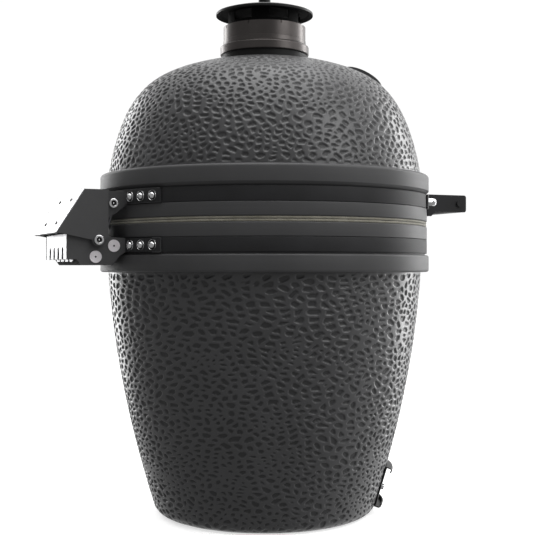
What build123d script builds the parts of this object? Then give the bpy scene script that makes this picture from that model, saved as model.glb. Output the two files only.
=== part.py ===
from build123d import *

import os
from math import acos, asin, atan2, cos, degrees, hypot, radians, sin, sqrt

# A kamado: a ceramic barrel with a hinged ceramic dome, in millimetres.
# Z is up and the ground is Z = 0; the body's axis is the Z axis.
# The front, with the handle and the draft door, faces -Y; the hinge is at +Y.

# ---------------------------------------------------------------- driving sizes

# The joint between base and dome
base_height = 467.6
lip_radius = 267.0
lip_height = 20.9
rim_width = 31.0
ring_stand_out = 3.0
ring_height = 27.0
upper_ring_height = 25.8
ring_edge_radius = 4.0
ring_undercut = 5.5
upper_ring_edge_radius = 5.0
lip_edge_radius = 1.0
lower_ring_gap = 2.7
gasket_thickness = 3.95
gasket_width = 24.0
gasket_setback = 1.0
gasket_edge_radius = 1.2
lid_gap = 0.3

# The clamping bands
band_height = 22.0
band_thickness = 3.0
band_clearance = 0.3
band_gap_angle = 20.0
cutter_margin = 1.0

# The barrel: each width is set in from the one above it
base_neck_inset = 10.2
base_neck_flare = 0.06
chest_inset = 16.3
chest_height = 252.5
belly_inset = 32.5
belly_height = 102.8
foot_inset = 48.0
foot_edge_radius = 24.0
foot_lean = 17.5
base_wall = 24.0
floor_thickness = 29.0
floor_corner_radius = 30.0

# The dome: each width is set in from the one below it, and each rise is from its foot
dome_neck_inset = 10.4
dome_neck_lean = 0.12
dome_side_inset = 12.1
dome_side_rise = 56.0
dome_shoulder_inset = 20.0
dome_shoulder_rise = 107.0
dome_turn_inset = 34.3
dome_turn_rise = 149.3
dome_crown_inset = 48.2
dome_crown_rise = 174.1
dome_rise = 190.5
dome_crown_slope = 0.16
dome_wall = 22.0
chimney_radius = 52.0
chimney_wall = 20.0

# The hinge bolt, behind the lips and below the rim of the base
hinge_reach = 35.0
hinge_drop = 24.6
hinge_pin_radius = 5.0
hinge_head_radius = 7.4
hinge_head_height = 5.0
head_edge_radius = 1.2
socket_floor = 1.5
fit_clearance = 0.05
side_gap = 0.3

# The straps that carry the hinge on both bands
strap_thickness = 3.0
strap_end_angle = 15.4
strap_bolt_steps = (1.7, 7.0, 12.2)
strap_bolt_radius = 3.0
washer_radius = 6.0
washer_thickness = 1.2
dome_nut_radius = 4.6

# The lower hinge bracket, of folded steel, measured from the hinge bolt
bracket_half_width = 75.0
bracket_thickness = 4.0
bracket_web = 3.0
bracket_reach = 45.8
bracket_drop = 37.4
bracket_ledge_drop = 28.7
bracket_ledge_depth = 14.3
bracket_web_depth = 20.6
bracket_step = 5.0
bracket_rise = 9.0
anchor_reach = 25.0
anchor_drop = 8.5
stay_reach = 3.0
stay_drop = 25.0
cross_rod_radius = 5.0
cross_head_radius = 9.2
cross_head_height = 1.4
cross_head_recess = 2.0

# The slotted guard behind the bracket
guard_thickness = 1.5
guard_slots = 4
guard_end_margin = 15.45
guard_slot_width = 10.7
guard_slot_height = 18.0
guard_lug_width = 22.0
guard_lug_drop = 3.5

# The lid arms, outside the lower bracket
arm_gap = 1.5
arm_thickness = 3.0
arm_lug_radius = 11.0
arm_half_depth = 14.5
arm_top_drop = 2.8
arm_top_bevel = 10.0
ear_low_drop = 18.6
ear_run = 27.0
ear_drop = 5.5
ear_corner = 5.0
ear_tip_radius = 6.0
ear_hollow_radius = 12.0
sheet_corner_radius = 2.0
tie_reach = 23.0
tie_drop = 18.2
tie_radius = 4.0
tie_head_radius = 7.2
tie_head_height = 4.0
bush_wall = 2.0
bush_flange_radius = 9.0
bush_flange_thickness = 0.9

# The cover over the springs
cover_thickness = 2.0
cover_gap = 0.2
cover_top_lift = 2.2
cover_top_reach = 20.6
cover_tail_reach = 62.6
cover_tail_lift = 10.2
cover_front_reach = 15.0
cover_lobe_radius = 9.5
cover_tail_depth = 14.0
cover_tail_rise = 2.2
badge_thickness = 1.2
badge_corner_radius = 2.0
badge_screw_offset = 39.0
badge_screw_margin = 18.0
badge_screw_radius = 1.5
badge_screw_head_radius = 2.9

# The torsion springs
spring_wire_radius = 2.5
spring_coil_radius = 13.0
spring_turns = 4
spring_coil_gap = 0.6
spring_inset = 15.0
spring_leg_overhang = 3.0

# The handle
handle_arm_x = 115.0
handle_arm_thickness = 4.0
handle_reach = 51.0
handle_low_drop = 2.5
handle_height = 28.3
handle_corner_radius = 4.0
handle_toe = 7.5
handle_grip_depth = 29.0
handle_grip_radius = 6.0
handle_foot_sweep = 12.0
handle_bolt_sweep = 6.6
handle_bolt_radius = 4.0
handle_nut_radius = 7.0
handle_nut_height = 12.0
grip_screw_radius = 3.0
grip_screw_head_radius = 5.0
grip_screw_head_height = 3.0
grip_screw_length = 24.0

# The draft door on the front of the barrel, on a wall that leans outwards
draft_rise = 19.0
draft_port_width = 78.0
draft_port_height = 36.0
draft_port_radius = 6.0
frame_half_angle = 38.0
frame_margin = 16.0
frame_thickness = 2.0
frame_wall_gap = 0.5
rail_depth = 11.0
rail_lip = 8.0
rail_edge_radius = 4.8
frame_bolt_inset_angle = 2.0
frame_bolt_radius = 3.0
frame_bolt_head_radius = 4.5
frame_bolt_head_height = 4.0
frame_bolt_depth = 14.0
door_half_angle = 12.5
door_thickness = 1.5
door_gap = 0.5
screen_tab_angle = 3.0
screen_tab_height = 8.0
screen_tab_edge_angle = 0.6
screen_slots = 7
screen_slot_width = 3.0
screen_slot_length = 34.0
knob_radius = 7.0
knob_height = 16.0
knob_edge_radius = 1.5
knob_lift = 0.1

# The fire inside
firebox_height = 221.0
firebox_foot_inset = 40.0
firebox_air_gap = 18.5
firebox_wall = 18.0
firebox_holes = 8
firebox_hole_radius = 8.0
firebox_foot_width = 25.0
grate_overlap = 23.0
grate_height = 103.0
grate_thickness = 8.0
grate_slots = 12
grate_slot_width = 9.0
fire_ring_drop = 27.6
fire_ring_air_gap = 16.0
fire_ring_wall = 17.0
grid_inset = 6.0
grid_rim_radius = 4.0
grid_wire_radius = 2.5
grid_bar_radius = 3.0
grid_wire_pitch = 20.0
seat_clearance = 0.3

# The chimney: collar, rotating sleeve and rain cap
neck_seal_height = 11.5
neck_seal_inset = 1.5
collar_flange_overhang = 3.0
collar_flange_height = 13.5
collar_flange_slope = 3.0
collar_swell = 0.4
collar_edge_radius = 2.0
collar_flange_lip = 5.0
collar_wall = 7.65
collar_height = 46.5
collar_seam_depth = 0.5
collar_notches = 8
collar_notch_width = 2.2
collar_notch_depth = 4.5
collar_notch_bite = 2.0
collar_spigot_depth = 20.0
sleeve_wall = 3.0
sleeve_clearance = 0.35
sleeve_rise = 69.5
sleeve_windows = 6
sleeve_window_height = 15.0
sleeve_window_angle = 34.0
sleeve_window_margin = 2.0
damper_thickness = 3.0
damper_petals = 4
damper_petal_inner = 12.0
damper_rim = 2.7
damper_petal_angle = 42.0
cap_overhang = 19.9
cap_edge = 3.0
cap_crown = 12.0
cap_skirt = 4.0
cap_knob_radius = 10.0
cap_knob_height = 14.0
cap_bolt_radius = 3.0

# The thermometer, on the front slope of the dome
gauge_seat_reach = 32.0
gauge_radius = 34.0
gauge_wall = 2.0
gauge_depth = 17.0
gauge_bezel_lip = 3.0
gauge_bezel_height = 7.0
gauge_lens_thickness = 2.0
gauge_dial_thickness = 0.8
gauge_dial_height = 8.0
gauge_needle_margin = 7.0
gauge_needle_thickness = 0.8
gauge_needle_lift = 1.2
gauge_stem_radius = 8.0
gauge_probe_radius = 3.0
gauge_probe_length = 60.0
gauge_spindle_radius = 1.0
gauge_nut_land = 5.0
gauge_nut_height = 7.0
gauge_nut_seat = 1.2
gauge_stem_end = 3.0

# ---------------------------------------------------------------- derived places

ring_radius = lip_radius + ring_stand_out
rim_inner_radius = lip_radius - rim_width
gasket_outer_radius = lip_radius - gasket_setback
gasket_inner_radius = gasket_outer_radius - gasket_width

base_neck_radius = lip_radius - base_neck_inset
chest_radius = base_neck_radius - chest_inset
belly_radius = chest_radius - belly_inset
foot_flat_radius = belly_radius - foot_inset

dome_neck_radius = lip_radius - dome_neck_inset
dome_side_radius = dome_neck_radius - dome_side_inset
dome_shoulder_radius = dome_side_radius - dome_shoulder_inset
dome_turn_radius = dome_shoulder_radius - dome_turn_inset
dome_crown_radius = dome_turn_radius - dome_crown_inset
dome_top_radius = chimney_radius + chimney_wall

lip_bottom = base_height - lip_height
groove_radius = lip_radius - band_thickness - band_clearance
lower_band_top = lip_bottom - band_clearance
lower_band_low = lower_band_top - band_height
lower_ring_top = lower_band_low - lower_ring_gap
lower_ring_low = lower_ring_top - ring_height

dome_bottom = base_height + 2 * gasket_thickness + lid_gap
upper_lip_top = dome_bottom + lip_height
upper_band_low = upper_lip_top + band_clearance
upper_band_top = upper_band_low + band_height
upper_groove_top = upper_band_top + 2 * band_clearance
upper_ring_low = upper_groove_top + ring_undercut
dome_start = upper_ring_low + upper_ring_height
dome_top = dome_start + dome_rise

hinge_y = lip_radius + hinge_reach
hinge_z = base_height - hinge_drop
bracket_inner_x = bracket_half_width - bracket_thickness
arm_inner_x = bracket_half_width + arm_gap
arm_outer_x = arm_inner_x + arm_thickness
cover_inner_x = arm_outer_x + cover_gap
cover_outer_x = cover_inner_x + cover_thickness
arm_top_z = upper_band_top - arm_top_drop
tie_y = hinge_y - tie_reach
tie_z = arm_top_z - tie_drop

draft_height = floor_thickness + draft_rise
frame_half_height = draft_port_height / 2 + frame_margin


def surface_plane(azimuth, point, normal):
    """Plane on a surface of revolution: its normal points away from the surface.

    Point and normal are (radius, height) pairs in the half-plane at the azimuth.
    """
    turn = radians(azimuth)
    return Plane(
        origin=(point.X * cos(turn), point.X * sin(turn), point.Y),
        x_dir=(-sin(turn), cos(turn), 0),
        z_dir=(normal.X * cos(turn), normal.X * sin(turn), normal.Y),
    )


def radial_plane(azimuth):
    """Half-plane through the axis: local x runs outwards and local y upwards."""
    turn = radians(azimuth)
    return Plane(
        origin=(0, 0, 0),
        x_dir=(cos(turn), sin(turn), 0),
        z_dir=(sin(turn), -cos(turn), 0),
    )


def share_where(curve, wanted, measure):
    """Share of a curve's length where a steadily rising measure reaches a value."""
    low = 0.0
    high = 1.0
    for _ in range(40):
        middle = (low + high) / 2
        if measure(curve @ middle) < wanted:
            low = middle
        else:
            high = middle
    return low


def outer_normal(curve, share):
    """Direction to the right of a curve that runs up the outside of the body."""
    tangent = curve % share
    return Vector(tangent.Y, -tangent.X)


def inner_points(curve, wall, count):
    """Points one wall thickness inside an outer curve, from its start to its end."""
    shares = [number / (count - 1) for number in range(count)]
    return [(curve @ share) - outer_normal(curve, share) * wall for share in shares]


# ------------------------------------------------------------- curves of the body

foot_arc = CenterArc((foot_flat_radius, foot_edge_radius), foot_edge_radius, -90, 90 - foot_lean)
barrel_curve = Spline(
    foot_arc @ 1,
    (belly_radius, belly_height),
    (chest_radius, chest_height),
    (base_neck_radius, lower_ring_low),
    tangents=[foot_arc % 1, (base_neck_flare, 1)],
)
barrel_inside = Spline(
    *inner_points(barrel_curve, base_wall, 5),
    (rim_inner_radius, lower_ring_top),
    tangents=[foot_arc % 1, (0, 1)],
)
floor_share = share_where(barrel_inside, floor_thickness, lambda place: place.Y)
barrel_inside = barrel_inside.trim(floor_share, 1)
dome_curve = Spline(
    (dome_neck_radius, dome_start),
    (dome_side_radius, dome_start + dome_side_rise),
    (dome_shoulder_radius, dome_start + dome_shoulder_rise),
    (dome_turn_radius, dome_start + dome_turn_rise),
    (dome_crown_radius, dome_start + dome_crown_rise),
    (dome_top_radius, dome_top),
    tangents=[(-dome_neck_lean, 1), (-1, dome_crown_slope)],
)
dome_inside = inner_points(dome_curve, dome_wall, 7)

# The draft door's place on the barrel wall
draft_share = share_where(barrel_curve, draft_height, lambda place: place.Y)
draft_point = barrel_curve @ draft_share
draft_up = barrel_curve % draft_share
draft_out = outer_normal(barrel_curve, draft_share)


def on_wall(along, out):
    """(radius, height) of a place up the wall and out from it, at the draft door."""
    place = draft_point + draft_up * along + draft_out * out
    return (place.X, place.Y)


def wall_plane(azimuth, along, out):
    """Plane parallel to the barrel wall at the draft door."""
    place = draft_point + draft_up * along + draft_out * out
    return surface_plane(azimuth, place, draft_out)


# The thermometer's place on the dome
gauge_seat_radius = dome_crown_radius + gauge_seat_reach
gauge_share = share_where(dome_curve, -gauge_seat_radius, lambda place: -place.X)
gauge_plane = surface_plane(-90, dome_curve @ gauge_share, outer_normal(dome_curve, gauge_share))

# ------------------------------------------------------------------- ceramic base

frame_bolt_angle = frame_half_angle - frame_bolt_inset_angle
frame_bolt_azimuths = (-90 - frame_bolt_angle, -90 + frame_bolt_angle)

with BuildPart() as base_shell:
    with BuildSketch(Plane.XZ) as base_section:
        with BuildLine():
            Line((0, 0), (foot_flat_radius, 0))
            add(foot_arc)
            add(barrel_curve)
            Polyline(
                (base_neck_radius, lower_ring_low),
                (ring_radius, lower_ring_low),
                (ring_radius, lower_ring_top),
                (groove_radius, lower_ring_top),
                (groove_radius, lip_bottom),
                (lip_radius, lip_bottom),
                (lip_radius, base_height),
                (rim_inner_radius, base_height),
                (rim_inner_radius, lower_ring_top),
            )
            add(barrel_inside)
            Polyline(barrel_inside @ 0, (0, floor_thickness), (0, 0))
        make_face()
        floor_corner = base_section.vertices().sort_by_distance(barrel_inside @ 0)[0]
        fillet(floor_corner, floor_corner_radius)
        ring_corners = base_section.vertices().group_by(Axis.X)[-1]
        fillet(ring_corners, ring_edge_radius)
    revolve(axis=Axis.Z)
    with BuildSketch(Plane.XZ.offset(foot_flat_radius / 2)):
        with Locations((0, draft_height)):
            Rectangle(draft_port_width, draft_port_height)
    extrude(amount=ring_radius, mode=Mode.SUBTRACT)
    for azimuth in frame_bolt_azimuths:
        with BuildSketch(wall_plane(azimuth, 0, cutter_margin)):
            Circle(frame_bolt_radius + fit_clearance)
        extrude(amount=-frame_bolt_depth - cutter_margin, mode=Mode.SUBTRACT)
base_shell.part.label = "base_shell"
export_step(base_shell.part, "parts/base_shell.step")

with BuildPart() as base_gasket:
    with BuildSketch(Plane.XY.offset(base_height)):
        Circle(gasket_outer_radius)
        Circle(gasket_inner_radius, mode=Mode.SUBTRACT)
    extrude(amount=gasket_thickness)
    fillet(base_gasket.edges().group_by(Axis.Z)[-1], gasket_edge_radius)
base_gasket.part.label = "base_gasket"
export_step(base_gasket.part, "parts/base_gasket.step")

# ------------------------------------------------------------------ ceramic dome

with BuildPart() as dome_shell:
    with BuildSketch(Plane.XZ) as dome_section:
        with BuildLine():
            Polyline(
                (rim_inner_radius, dome_bottom),
                (lip_radius, dome_bottom),
                (lip_radius, upper_lip_top),
                (groove_radius, upper_lip_top),
                (groove_radius, upper_groove_top),
                (ring_radius, upper_ring_low),
                (ring_radius, dome_start),
                (dome_neck_radius, dome_start),
            )
            add(dome_curve)
            Polyline(
                (dome_top_radius, dome_top),
                (chimney_radius, dome_top),
                (chimney_radius, dome_inside[-1].Y),
                (dome_inside[-1].X, dome_inside[-1].Y),
            )
            Spline(*reversed(dome_inside[1:]), (rim_inner_radius, upper_lip_top),
                   tangents=[(1, -dome_crown_slope), (0, -1)])
            Line((rim_inner_radius, upper_lip_top), (rim_inner_radius, dome_bottom))
        make_face()
        ring_corners = dome_section.vertices().group_by(Axis.X)[-1]
        fillet(ring_corners.sort_by(Axis.Y)[-1], upper_ring_edge_radius)
        fillet(dome_section.vertices().group_by(Axis.X)[-1].sort_by(Axis.Y)[0], lip_edge_radius)
    revolve(axis=Axis.Z)
    with BuildSketch(gauge_plane.offset(gauge_depth)):
        Circle(gauge_stem_radius + seat_clearance)
    extrude(amount=-gauge_depth - 2 * dome_wall, mode=Mode.SUBTRACT)
dome_shell.part.label = "dome_shell"
export_step(dome_shell.part, "parts/dome_shell.step")

with BuildPart() as lid_gasket:
    with BuildSketch(Plane.XY.offset(dome_bottom)):
        Circle(gasket_outer_radius)
        Circle(gasket_inner_radius, mode=Mode.SUBTRACT)
    extrude(amount=-gasket_thickness)
    fillet(lid_gasket.edges().group_by(Axis.Z)[0], gasket_edge_radius)
lid_gasket.part.label = "lid_gasket"
export_step(lid_gasket.part, "parts/lid_gasket.step")

# ---------------------------------------------------------- bands, straps and bolts

band_inner_radius = lip_radius - band_thickness
strap_inner_radius = lip_radius + fit_clearance
strap_outer_radius = strap_inner_radius + strap_thickness
arm_angle = degrees(asin(arm_outer_x / strap_inner_radius))
strap_half_angle = arm_angle + strap_end_angle
strap_bolt_azimuths = [
    90 + side * (arm_angle + step) for side in (-1, 1) for step in strap_bolt_steps
]
handle_root_angle = degrees(asin((handle_arm_x - handle_arm_thickness / 2) / strap_inner_radius))
handle_bolt_azimuths = [
    -90 + side * (handle_root_angle + handle_bolt_sweep) for side in (-1, 1)
]
lower_band_middle = lower_band_low + band_height / 2
upper_band_middle = upper_band_low + band_height / 2


def band_plane(azimuth, radius, height):
    """Plane that faces straight out from the axis."""
    return surface_plane(azimuth, Vector(radius, height), Vector(1, 0))


# Places of the bolts on each band
hole_depth = band_clearance + band_thickness + strap_thickness + cutter_margin
lower_strap_places = [
    band_plane(azimuth, band_inner_radius - band_clearance, lower_band_middle)
    for azimuth in strap_bolt_azimuths
]
upper_strap_places = [
    band_plane(azimuth, band_inner_radius - band_clearance, upper_band_middle)
    for azimuth in strap_bolt_azimuths
]
handle_places = [
    band_plane(azimuth, band_inner_radius - band_clearance, upper_band_middle)
    for azimuth in handle_bolt_azimuths
]
FROM_INSIDE = (Align.CENTER, Align.CENTER, Align.MIN)

with BuildPart() as lower_band:
    with BuildSketch(radial_plane(90 + band_gap_angle / 2)):
        with Locations((band_inner_radius, lower_band_low)):
            Rectangle(band_thickness, band_height, align=(Align.MIN, Align.MIN))
    revolve(axis=Axis.Z, revolution_arc=360 - band_gap_angle)
    with Locations(*lower_strap_places):
        Cylinder(strap_bolt_radius + fit_clearance, hole_depth, align=FROM_INSIDE,
                 mode=Mode.SUBTRACT)
lower_band.part.label = "lower_band"
export_step(lower_band.part, "parts/lower_band.step")

with BuildPart() as upper_band:
    with BuildSketch(radial_plane(90 + band_gap_angle / 2)):
        with Locations((band_inner_radius, upper_band_low)):
            Rectangle(band_thickness, band_height, align=(Align.MIN, Align.MIN))
    revolve(axis=Axis.Z, revolution_arc=360 - band_gap_angle)
    with Locations(*upper_strap_places):
        Cylinder(strap_bolt_radius + fit_clearance, hole_depth, align=FROM_INSIDE,
                 mode=Mode.SUBTRACT)
    with Locations(*handle_places):
        Cylinder(handle_bolt_radius + fit_clearance, hole_depth, align=FROM_INSIDE,
                 mode=Mode.SUBTRACT)
upper_band.part.label = "upper_band"
export_step(upper_band.part, "parts/upper_band.step")

# One strap bolt: a shank from inside the band, a washer and a domed nut
with BuildPart() as strap_bolt:
    with BuildSketch(Plane.XZ):
        with BuildLine():
            Polyline(
                (0, 0),
                (strap_bolt_radius, 0),
                (strap_bolt_radius, band_thickness + strap_thickness + fit_clearance),
                (washer_radius, band_thickness + strap_thickness + fit_clearance),
                (washer_radius, band_thickness + strap_thickness + washer_thickness),
                (dome_nut_radius, band_thickness + strap_thickness + washer_thickness),
            )
            RadiusArc(
                (dome_nut_radius, band_thickness + strap_thickness + washer_thickness),
                (0, band_thickness + strap_thickness + washer_thickness + dome_nut_radius),
                -dome_nut_radius,
            )
            Line((0, band_thickness + strap_thickness + washer_thickness + dome_nut_radius), (0, 0))
        make_face()
    revolve(axis=Axis.Z)

with BuildPart() as base_strap_bolts:
    for azimuth in strap_bolt_azimuths:
        with Locations(band_plane(azimuth, band_inner_radius, lower_band_middle).location):
            add(strap_bolt.part)
base_strap_bolts.part.label = "base_strap_bolts"
export_step(base_strap_bolts.part, "parts/base_strap_bolts.step")

with BuildPart() as lid_strap_bolts:
    for azimuth in strap_bolt_azimuths:
        with Locations(band_plane(azimuth, band_inner_radius, upper_band_middle).location):
            add(strap_bolt.part)
lid_strap_bolts.part.label = "lid_strap_bolts"
export_step(lid_strap_bolts.part, "parts/lid_strap_bolts.step")

# ------------------------------------------------------------- lower hinge bracket

strap_reach_y = sqrt(strap_inner_radius**2 - bracket_inner_x**2) + strap_thickness / 4
bracket_rear_y = hinge_y + bracket_reach
bracket_low_z = hinge_z - bracket_drop
bracket_ledge_z = hinge_z - bracket_ledge_drop
bracket_top_z = hinge_z + bracket_rise
anchor_y = hinge_y - anchor_reach
anchor_z = hinge_z - anchor_drop
ledge_y = bracket_rear_y - bracket_ledge_depth
web_low_y = bracket_rear_y - bracket_web_depth
cross_rods = ((anchor_y, anchor_z), (hinge_y + stay_reach, hinge_z - stay_drop))

with BuildPart() as base_hinge_bracket:
    # Both cheeks and the folded web between them
    with BuildSketch(Plane.YZ.offset(-bracket_half_width)) as bracket_outline:
        Polygon(
            (strap_reach_y, lower_band_low + bracket_step / 4),
            (strap_reach_y + 2 * bracket_step, bracket_ledge_z + bracket_step),
            (anchor_y + bracket_step / 2, bracket_low_z),
            (web_low_y, bracket_low_z),
            (ledge_y, bracket_ledge_z),
            (bracket_rear_y, bracket_ledge_z),
            (bracket_rear_y, bracket_top_z),
            (hinge_y + arm_lug_radius, hinge_z + arm_lug_radius),
            (hinge_y - arm_lug_radius, hinge_z + arm_lug_radius),
            (hinge_y - arm_lug_radius - bracket_step, lower_band_top + bracket_step / 4),
            (strap_reach_y, lower_band_top),
            align=None,
        )
    extrude(amount=2 * bracket_half_width)
    with BuildSketch(Plane.YZ.offset(-bracket_inner_x)):
        Polygon(
            (strap_reach_y - cutter_margin, base_height),
            (strap_reach_y - cutter_margin, bracket_ledge_z),
            (anchor_y - bracket_web, bracket_low_z + bracket_web),
            (web_low_y - bracket_web / 2, bracket_low_z + bracket_web),
            (ledge_y - bracket_web, bracket_ledge_z),
            (bracket_rear_y + cutter_margin, bracket_ledge_z),
            (bracket_rear_y + cutter_margin, base_height),
            align=None,
        )
    extrude(amount=2 * bracket_inner_x, mode=Mode.SUBTRACT)
    # The strap that the bracket hangs on
    with BuildSketch(radial_plane(90 - strap_half_angle)):
        with Locations((strap_inner_radius, lower_band_low)):
            Rectangle(strap_thickness, band_height, align=(Align.MIN, Align.MIN))
    revolve(axis=Axis.Z, revolution_arc=2 * strap_half_angle)
    with Locations(*lower_strap_places):
        Cylinder(strap_bolt_radius + fit_clearance, hole_depth, align=FROM_INSIDE,
                 mode=Mode.SUBTRACT)
    with BuildSketch(Plane.YZ.offset(-bracket_half_width)):
        with Locations((hinge_y, hinge_z)):
            Circle(hinge_pin_radius + fit_clearance)
        with Locations(*cross_rods):
            Circle(cross_rod_radius + fit_clearance)
    extrude(amount=2 * bracket_half_width, mode=Mode.SUBTRACT)
base_hinge_bracket.part.label = "base_hinge_bracket"
export_step(base_hinge_bracket.part, "parts/base_hinge_bracket.step")

# The anchor rod takes the springs' lower legs and the stay rod ties the cheeks
rod_half_length = bracket_half_width + cross_head_height
with BuildPart() as bracket_cross_rods:
    for rod_y, rod_z in cross_rods:
        with BuildSketch(Plane.YZ.offset(-rod_half_length)):
            with Locations((rod_y, rod_z)):
                Circle(cross_rod_radius)
        extrude(amount=2 * rod_half_length)
        with BuildSketch(Plane.YZ.offset(bracket_half_width), Plane.YZ.offset(-rod_half_length)):
            with Locations((rod_y, rod_z)):
                Circle(cross_head_radius)
        extrude(amount=cross_head_height)
        with BuildSketch(Plane.YZ.offset(-rod_half_length), Plane.YZ.offset(rod_half_length)):
            with Locations((rod_y, rod_z)):
                RegularPolygon(cross_head_recess, 6)
        extrude(amount=cross_head_height, both=True, mode=Mode.SUBTRACT)
bracket_cross_rods.part.label = "bracket_cross_rods"
export_step(bracket_cross_rods.part, "parts/bracket_cross_rods.step")

# A folded stainless guard: slotted rear face, bottom flange and rounded lugs
guard_half_width = bracket_inner_x - side_gap
guard_slot_reach = guard_half_width - guard_lug_width / 2 - guard_end_margin
guard_slot_pitch = 2 * guard_slot_reach / (guard_slots - 1)
slot_xs = [(number - (guard_slots - 1) / 2) * guard_slot_pitch for number in range(guard_slots)]
with BuildPart() as spring_guard:
    with BuildSketch(Plane.YZ.offset(-guard_half_width)) as guard_section:
        Polygon(
            (bracket_rear_y, bracket_top_z),
            (bracket_rear_y, bracket_ledge_z),
            (ledge_y - guard_thickness, bracket_ledge_z),
            (ledge_y - guard_thickness, bracket_ledge_z + guard_thickness),
            (bracket_rear_y - guard_thickness, bracket_ledge_z + guard_thickness),
            (bracket_rear_y - guard_thickness, bracket_top_z),
            align=None,
        )
    extrude(amount=2 * guard_half_width)
    with BuildSketch(Plane.XZ.offset(-bracket_rear_y)):
        with Locations(*[(x, bracket_ledge_z) for x in slot_xs]):
            SlotCenterPoint((0, 0), (0, guard_slot_height - guard_slot_width / 2), guard_slot_width)
    extrude(amount=2 * guard_thickness, mode=Mode.SUBTRACT)
    with BuildSketch(Plane.XZ.offset(-ledge_y - guard_thickness)):
        with Locations(*[(x, bracket_ledge_z + guard_thickness) for x in slot_xs]):
            Rectangle(guard_lug_width, guard_lug_drop + guard_thickness,
                      align=(Align.CENTER, Align.MAX))
    extrude(amount=guard_thickness)
    lug_edges = spring_guard.edges().filter_by(Axis.Y).group_by(Axis.Z)[0]
    fillet(lug_edges, guard_lug_drop * 0.9)
spring_guard.part.label = "spring_guard"
export_step(spring_guard.part, "parts/spring_guard.step")

# ------------------------------------------------------------ hinge pin and bushes

pin_half_length = cover_outer_x + side_gap
with BuildPart() as hinge_pin:
    with BuildSketch(Plane.YZ.offset(-pin_half_length)):
        with Locations((hinge_y, hinge_z)):
            Circle(hinge_pin_radius)
    extrude(amount=2 * pin_half_length)
    with BuildSketch(Plane.YZ.offset(pin_half_length),
                     Plane.YZ.offset(-pin_half_length - hinge_head_height)):
        with Locations((hinge_y, hinge_z)):
            Circle(hinge_head_radius)
    extrude(amount=hinge_head_height)
    outer_faces = hinge_pin.faces().filter_by(Axis.X).group_by(Axis.X)
    fillet([outer_faces[0].edges(), outer_faces[-1].edges()], head_edge_radius)
    with BuildSketch(Plane.YZ.offset(-pin_half_length - hinge_head_height),
                     Plane.YZ.offset(pin_half_length + hinge_head_height)):
        with Locations((hinge_y, hinge_z)):
            RegularPolygon(hinge_head_radius / 2, 6)
    extrude(amount=hinge_head_height - socket_floor, both=True, mode=Mode.SUBTRACT)
hinge_pin.part.label = "hinge_pin"
export_step(hinge_pin.part, "parts/hinge_pin.step")

bush_outer_radius = hinge_pin_radius + fit_clearance + bush_wall
with BuildPart() as hinge_bushes:
    with BuildSketch(Plane.YZ.offset(arm_inner_x), Plane.YZ.offset(-arm_outer_x)):
        with Locations((hinge_y, hinge_z)):
            Circle(bush_outer_radius)
            Circle(hinge_pin_radius + fit_clearance, mode=Mode.SUBTRACT)
    extrude(amount=arm_thickness)
    with BuildSketch(Plane.YZ.offset(arm_inner_x - bush_flange_thickness),
                     Plane.YZ.offset(-arm_inner_x)):
        with Locations((hinge_y, hinge_z)):
            Circle(bush_flange_radius)
            Circle(hinge_pin_radius + fit_clearance, mode=Mode.SUBTRACT)
    extrude(amount=bush_flange_thickness)
hinge_bushes.part.label = "hinge_bushes"
export_step(hinge_bushes.part, "parts/hinge_bushes.step")

# ---------------------------------------------------------------------- lid bracket

ear_reach_y = sqrt(strap_inner_radius**2 - arm_inner_x**2) + strap_thickness / 4
ear_low_z = upper_band_low - ear_low_drop
arm_front_y = hinge_y - arm_half_depth
arm_rear_y = hinge_y + arm_half_depth

# Outline of one arm, as (y, z)
with BuildSketch() as arm_outline:
    Polygon(
        (ear_reach_y, upper_band_low + ear_corner / 3),
        (ear_reach_y + ear_run / 3, upper_band_low - ear_drop),
        (ear_reach_y + 2 * ear_run / 3, ear_low_z + ear_corner),
        (ear_reach_y + ear_run, ear_low_z),
        (arm_front_y, ear_low_z - ear_drop),
        (hinge_y - arm_lug_radius, hinge_z),
        (hinge_y + arm_lug_radius, hinge_z),
        (arm_rear_y, ear_low_z - ear_drop),
        (arm_rear_y, tie_z),
        (arm_rear_y - arm_top_bevel, arm_top_z),
        (ear_reach_y + ear_corner, arm_top_z),
        (ear_reach_y, arm_top_z - ear_corner),
        align=None,
    )
    # The ear's rounded tip, and the hollow where it sweeps down into the arm
    for corner, radius in (
        ((ear_reach_y + ear_run / 3, upper_band_low - ear_drop), ear_tip_radius),
        ((ear_reach_y + ear_run, ear_low_z), ear_hollow_radius),
        ((arm_rear_y, tie_z), sheet_corner_radius),
        ((arm_rear_y - arm_top_bevel, arm_top_z), sheet_corner_radius),
    ):
        fillet(arm_outline.vertices().sort_by_distance(corner)[0], radius)
    with Locations((hinge_y, hinge_z)):
        Circle(arm_lug_radius)
        Circle(bush_outer_radius + fit_clearance, mode=Mode.SUBTRACT)
    with Locations((tie_y, tie_z)):
        Circle(tie_radius + fit_clearance, mode=Mode.SUBTRACT)

with BuildPart() as lid_hinge_bracket:
    with BuildSketch(Plane.YZ.offset(arm_inner_x), Plane.YZ.offset(-arm_outer_x)):
        add(arm_outline.sketch)
    extrude(amount=arm_thickness)
    with BuildSketch(radial_plane(90 - strap_half_angle)):
        with Locations((strap_inner_radius, upper_band_low)):
            Rectangle(strap_thickness, band_height, align=(Align.MIN, Align.MIN))
    revolve(axis=Axis.Z, revolution_arc=2 * strap_half_angle)
    with Locations(*upper_strap_places):
        Cylinder(strap_bolt_radius + fit_clearance, hole_depth, align=FROM_INSIDE,
                 mode=Mode.SUBTRACT)
lid_hinge_bracket.part.label = "lid_hinge_bracket"
export_step(lid_hinge_bracket.part, "parts/lid_hinge_bracket.step")

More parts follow.
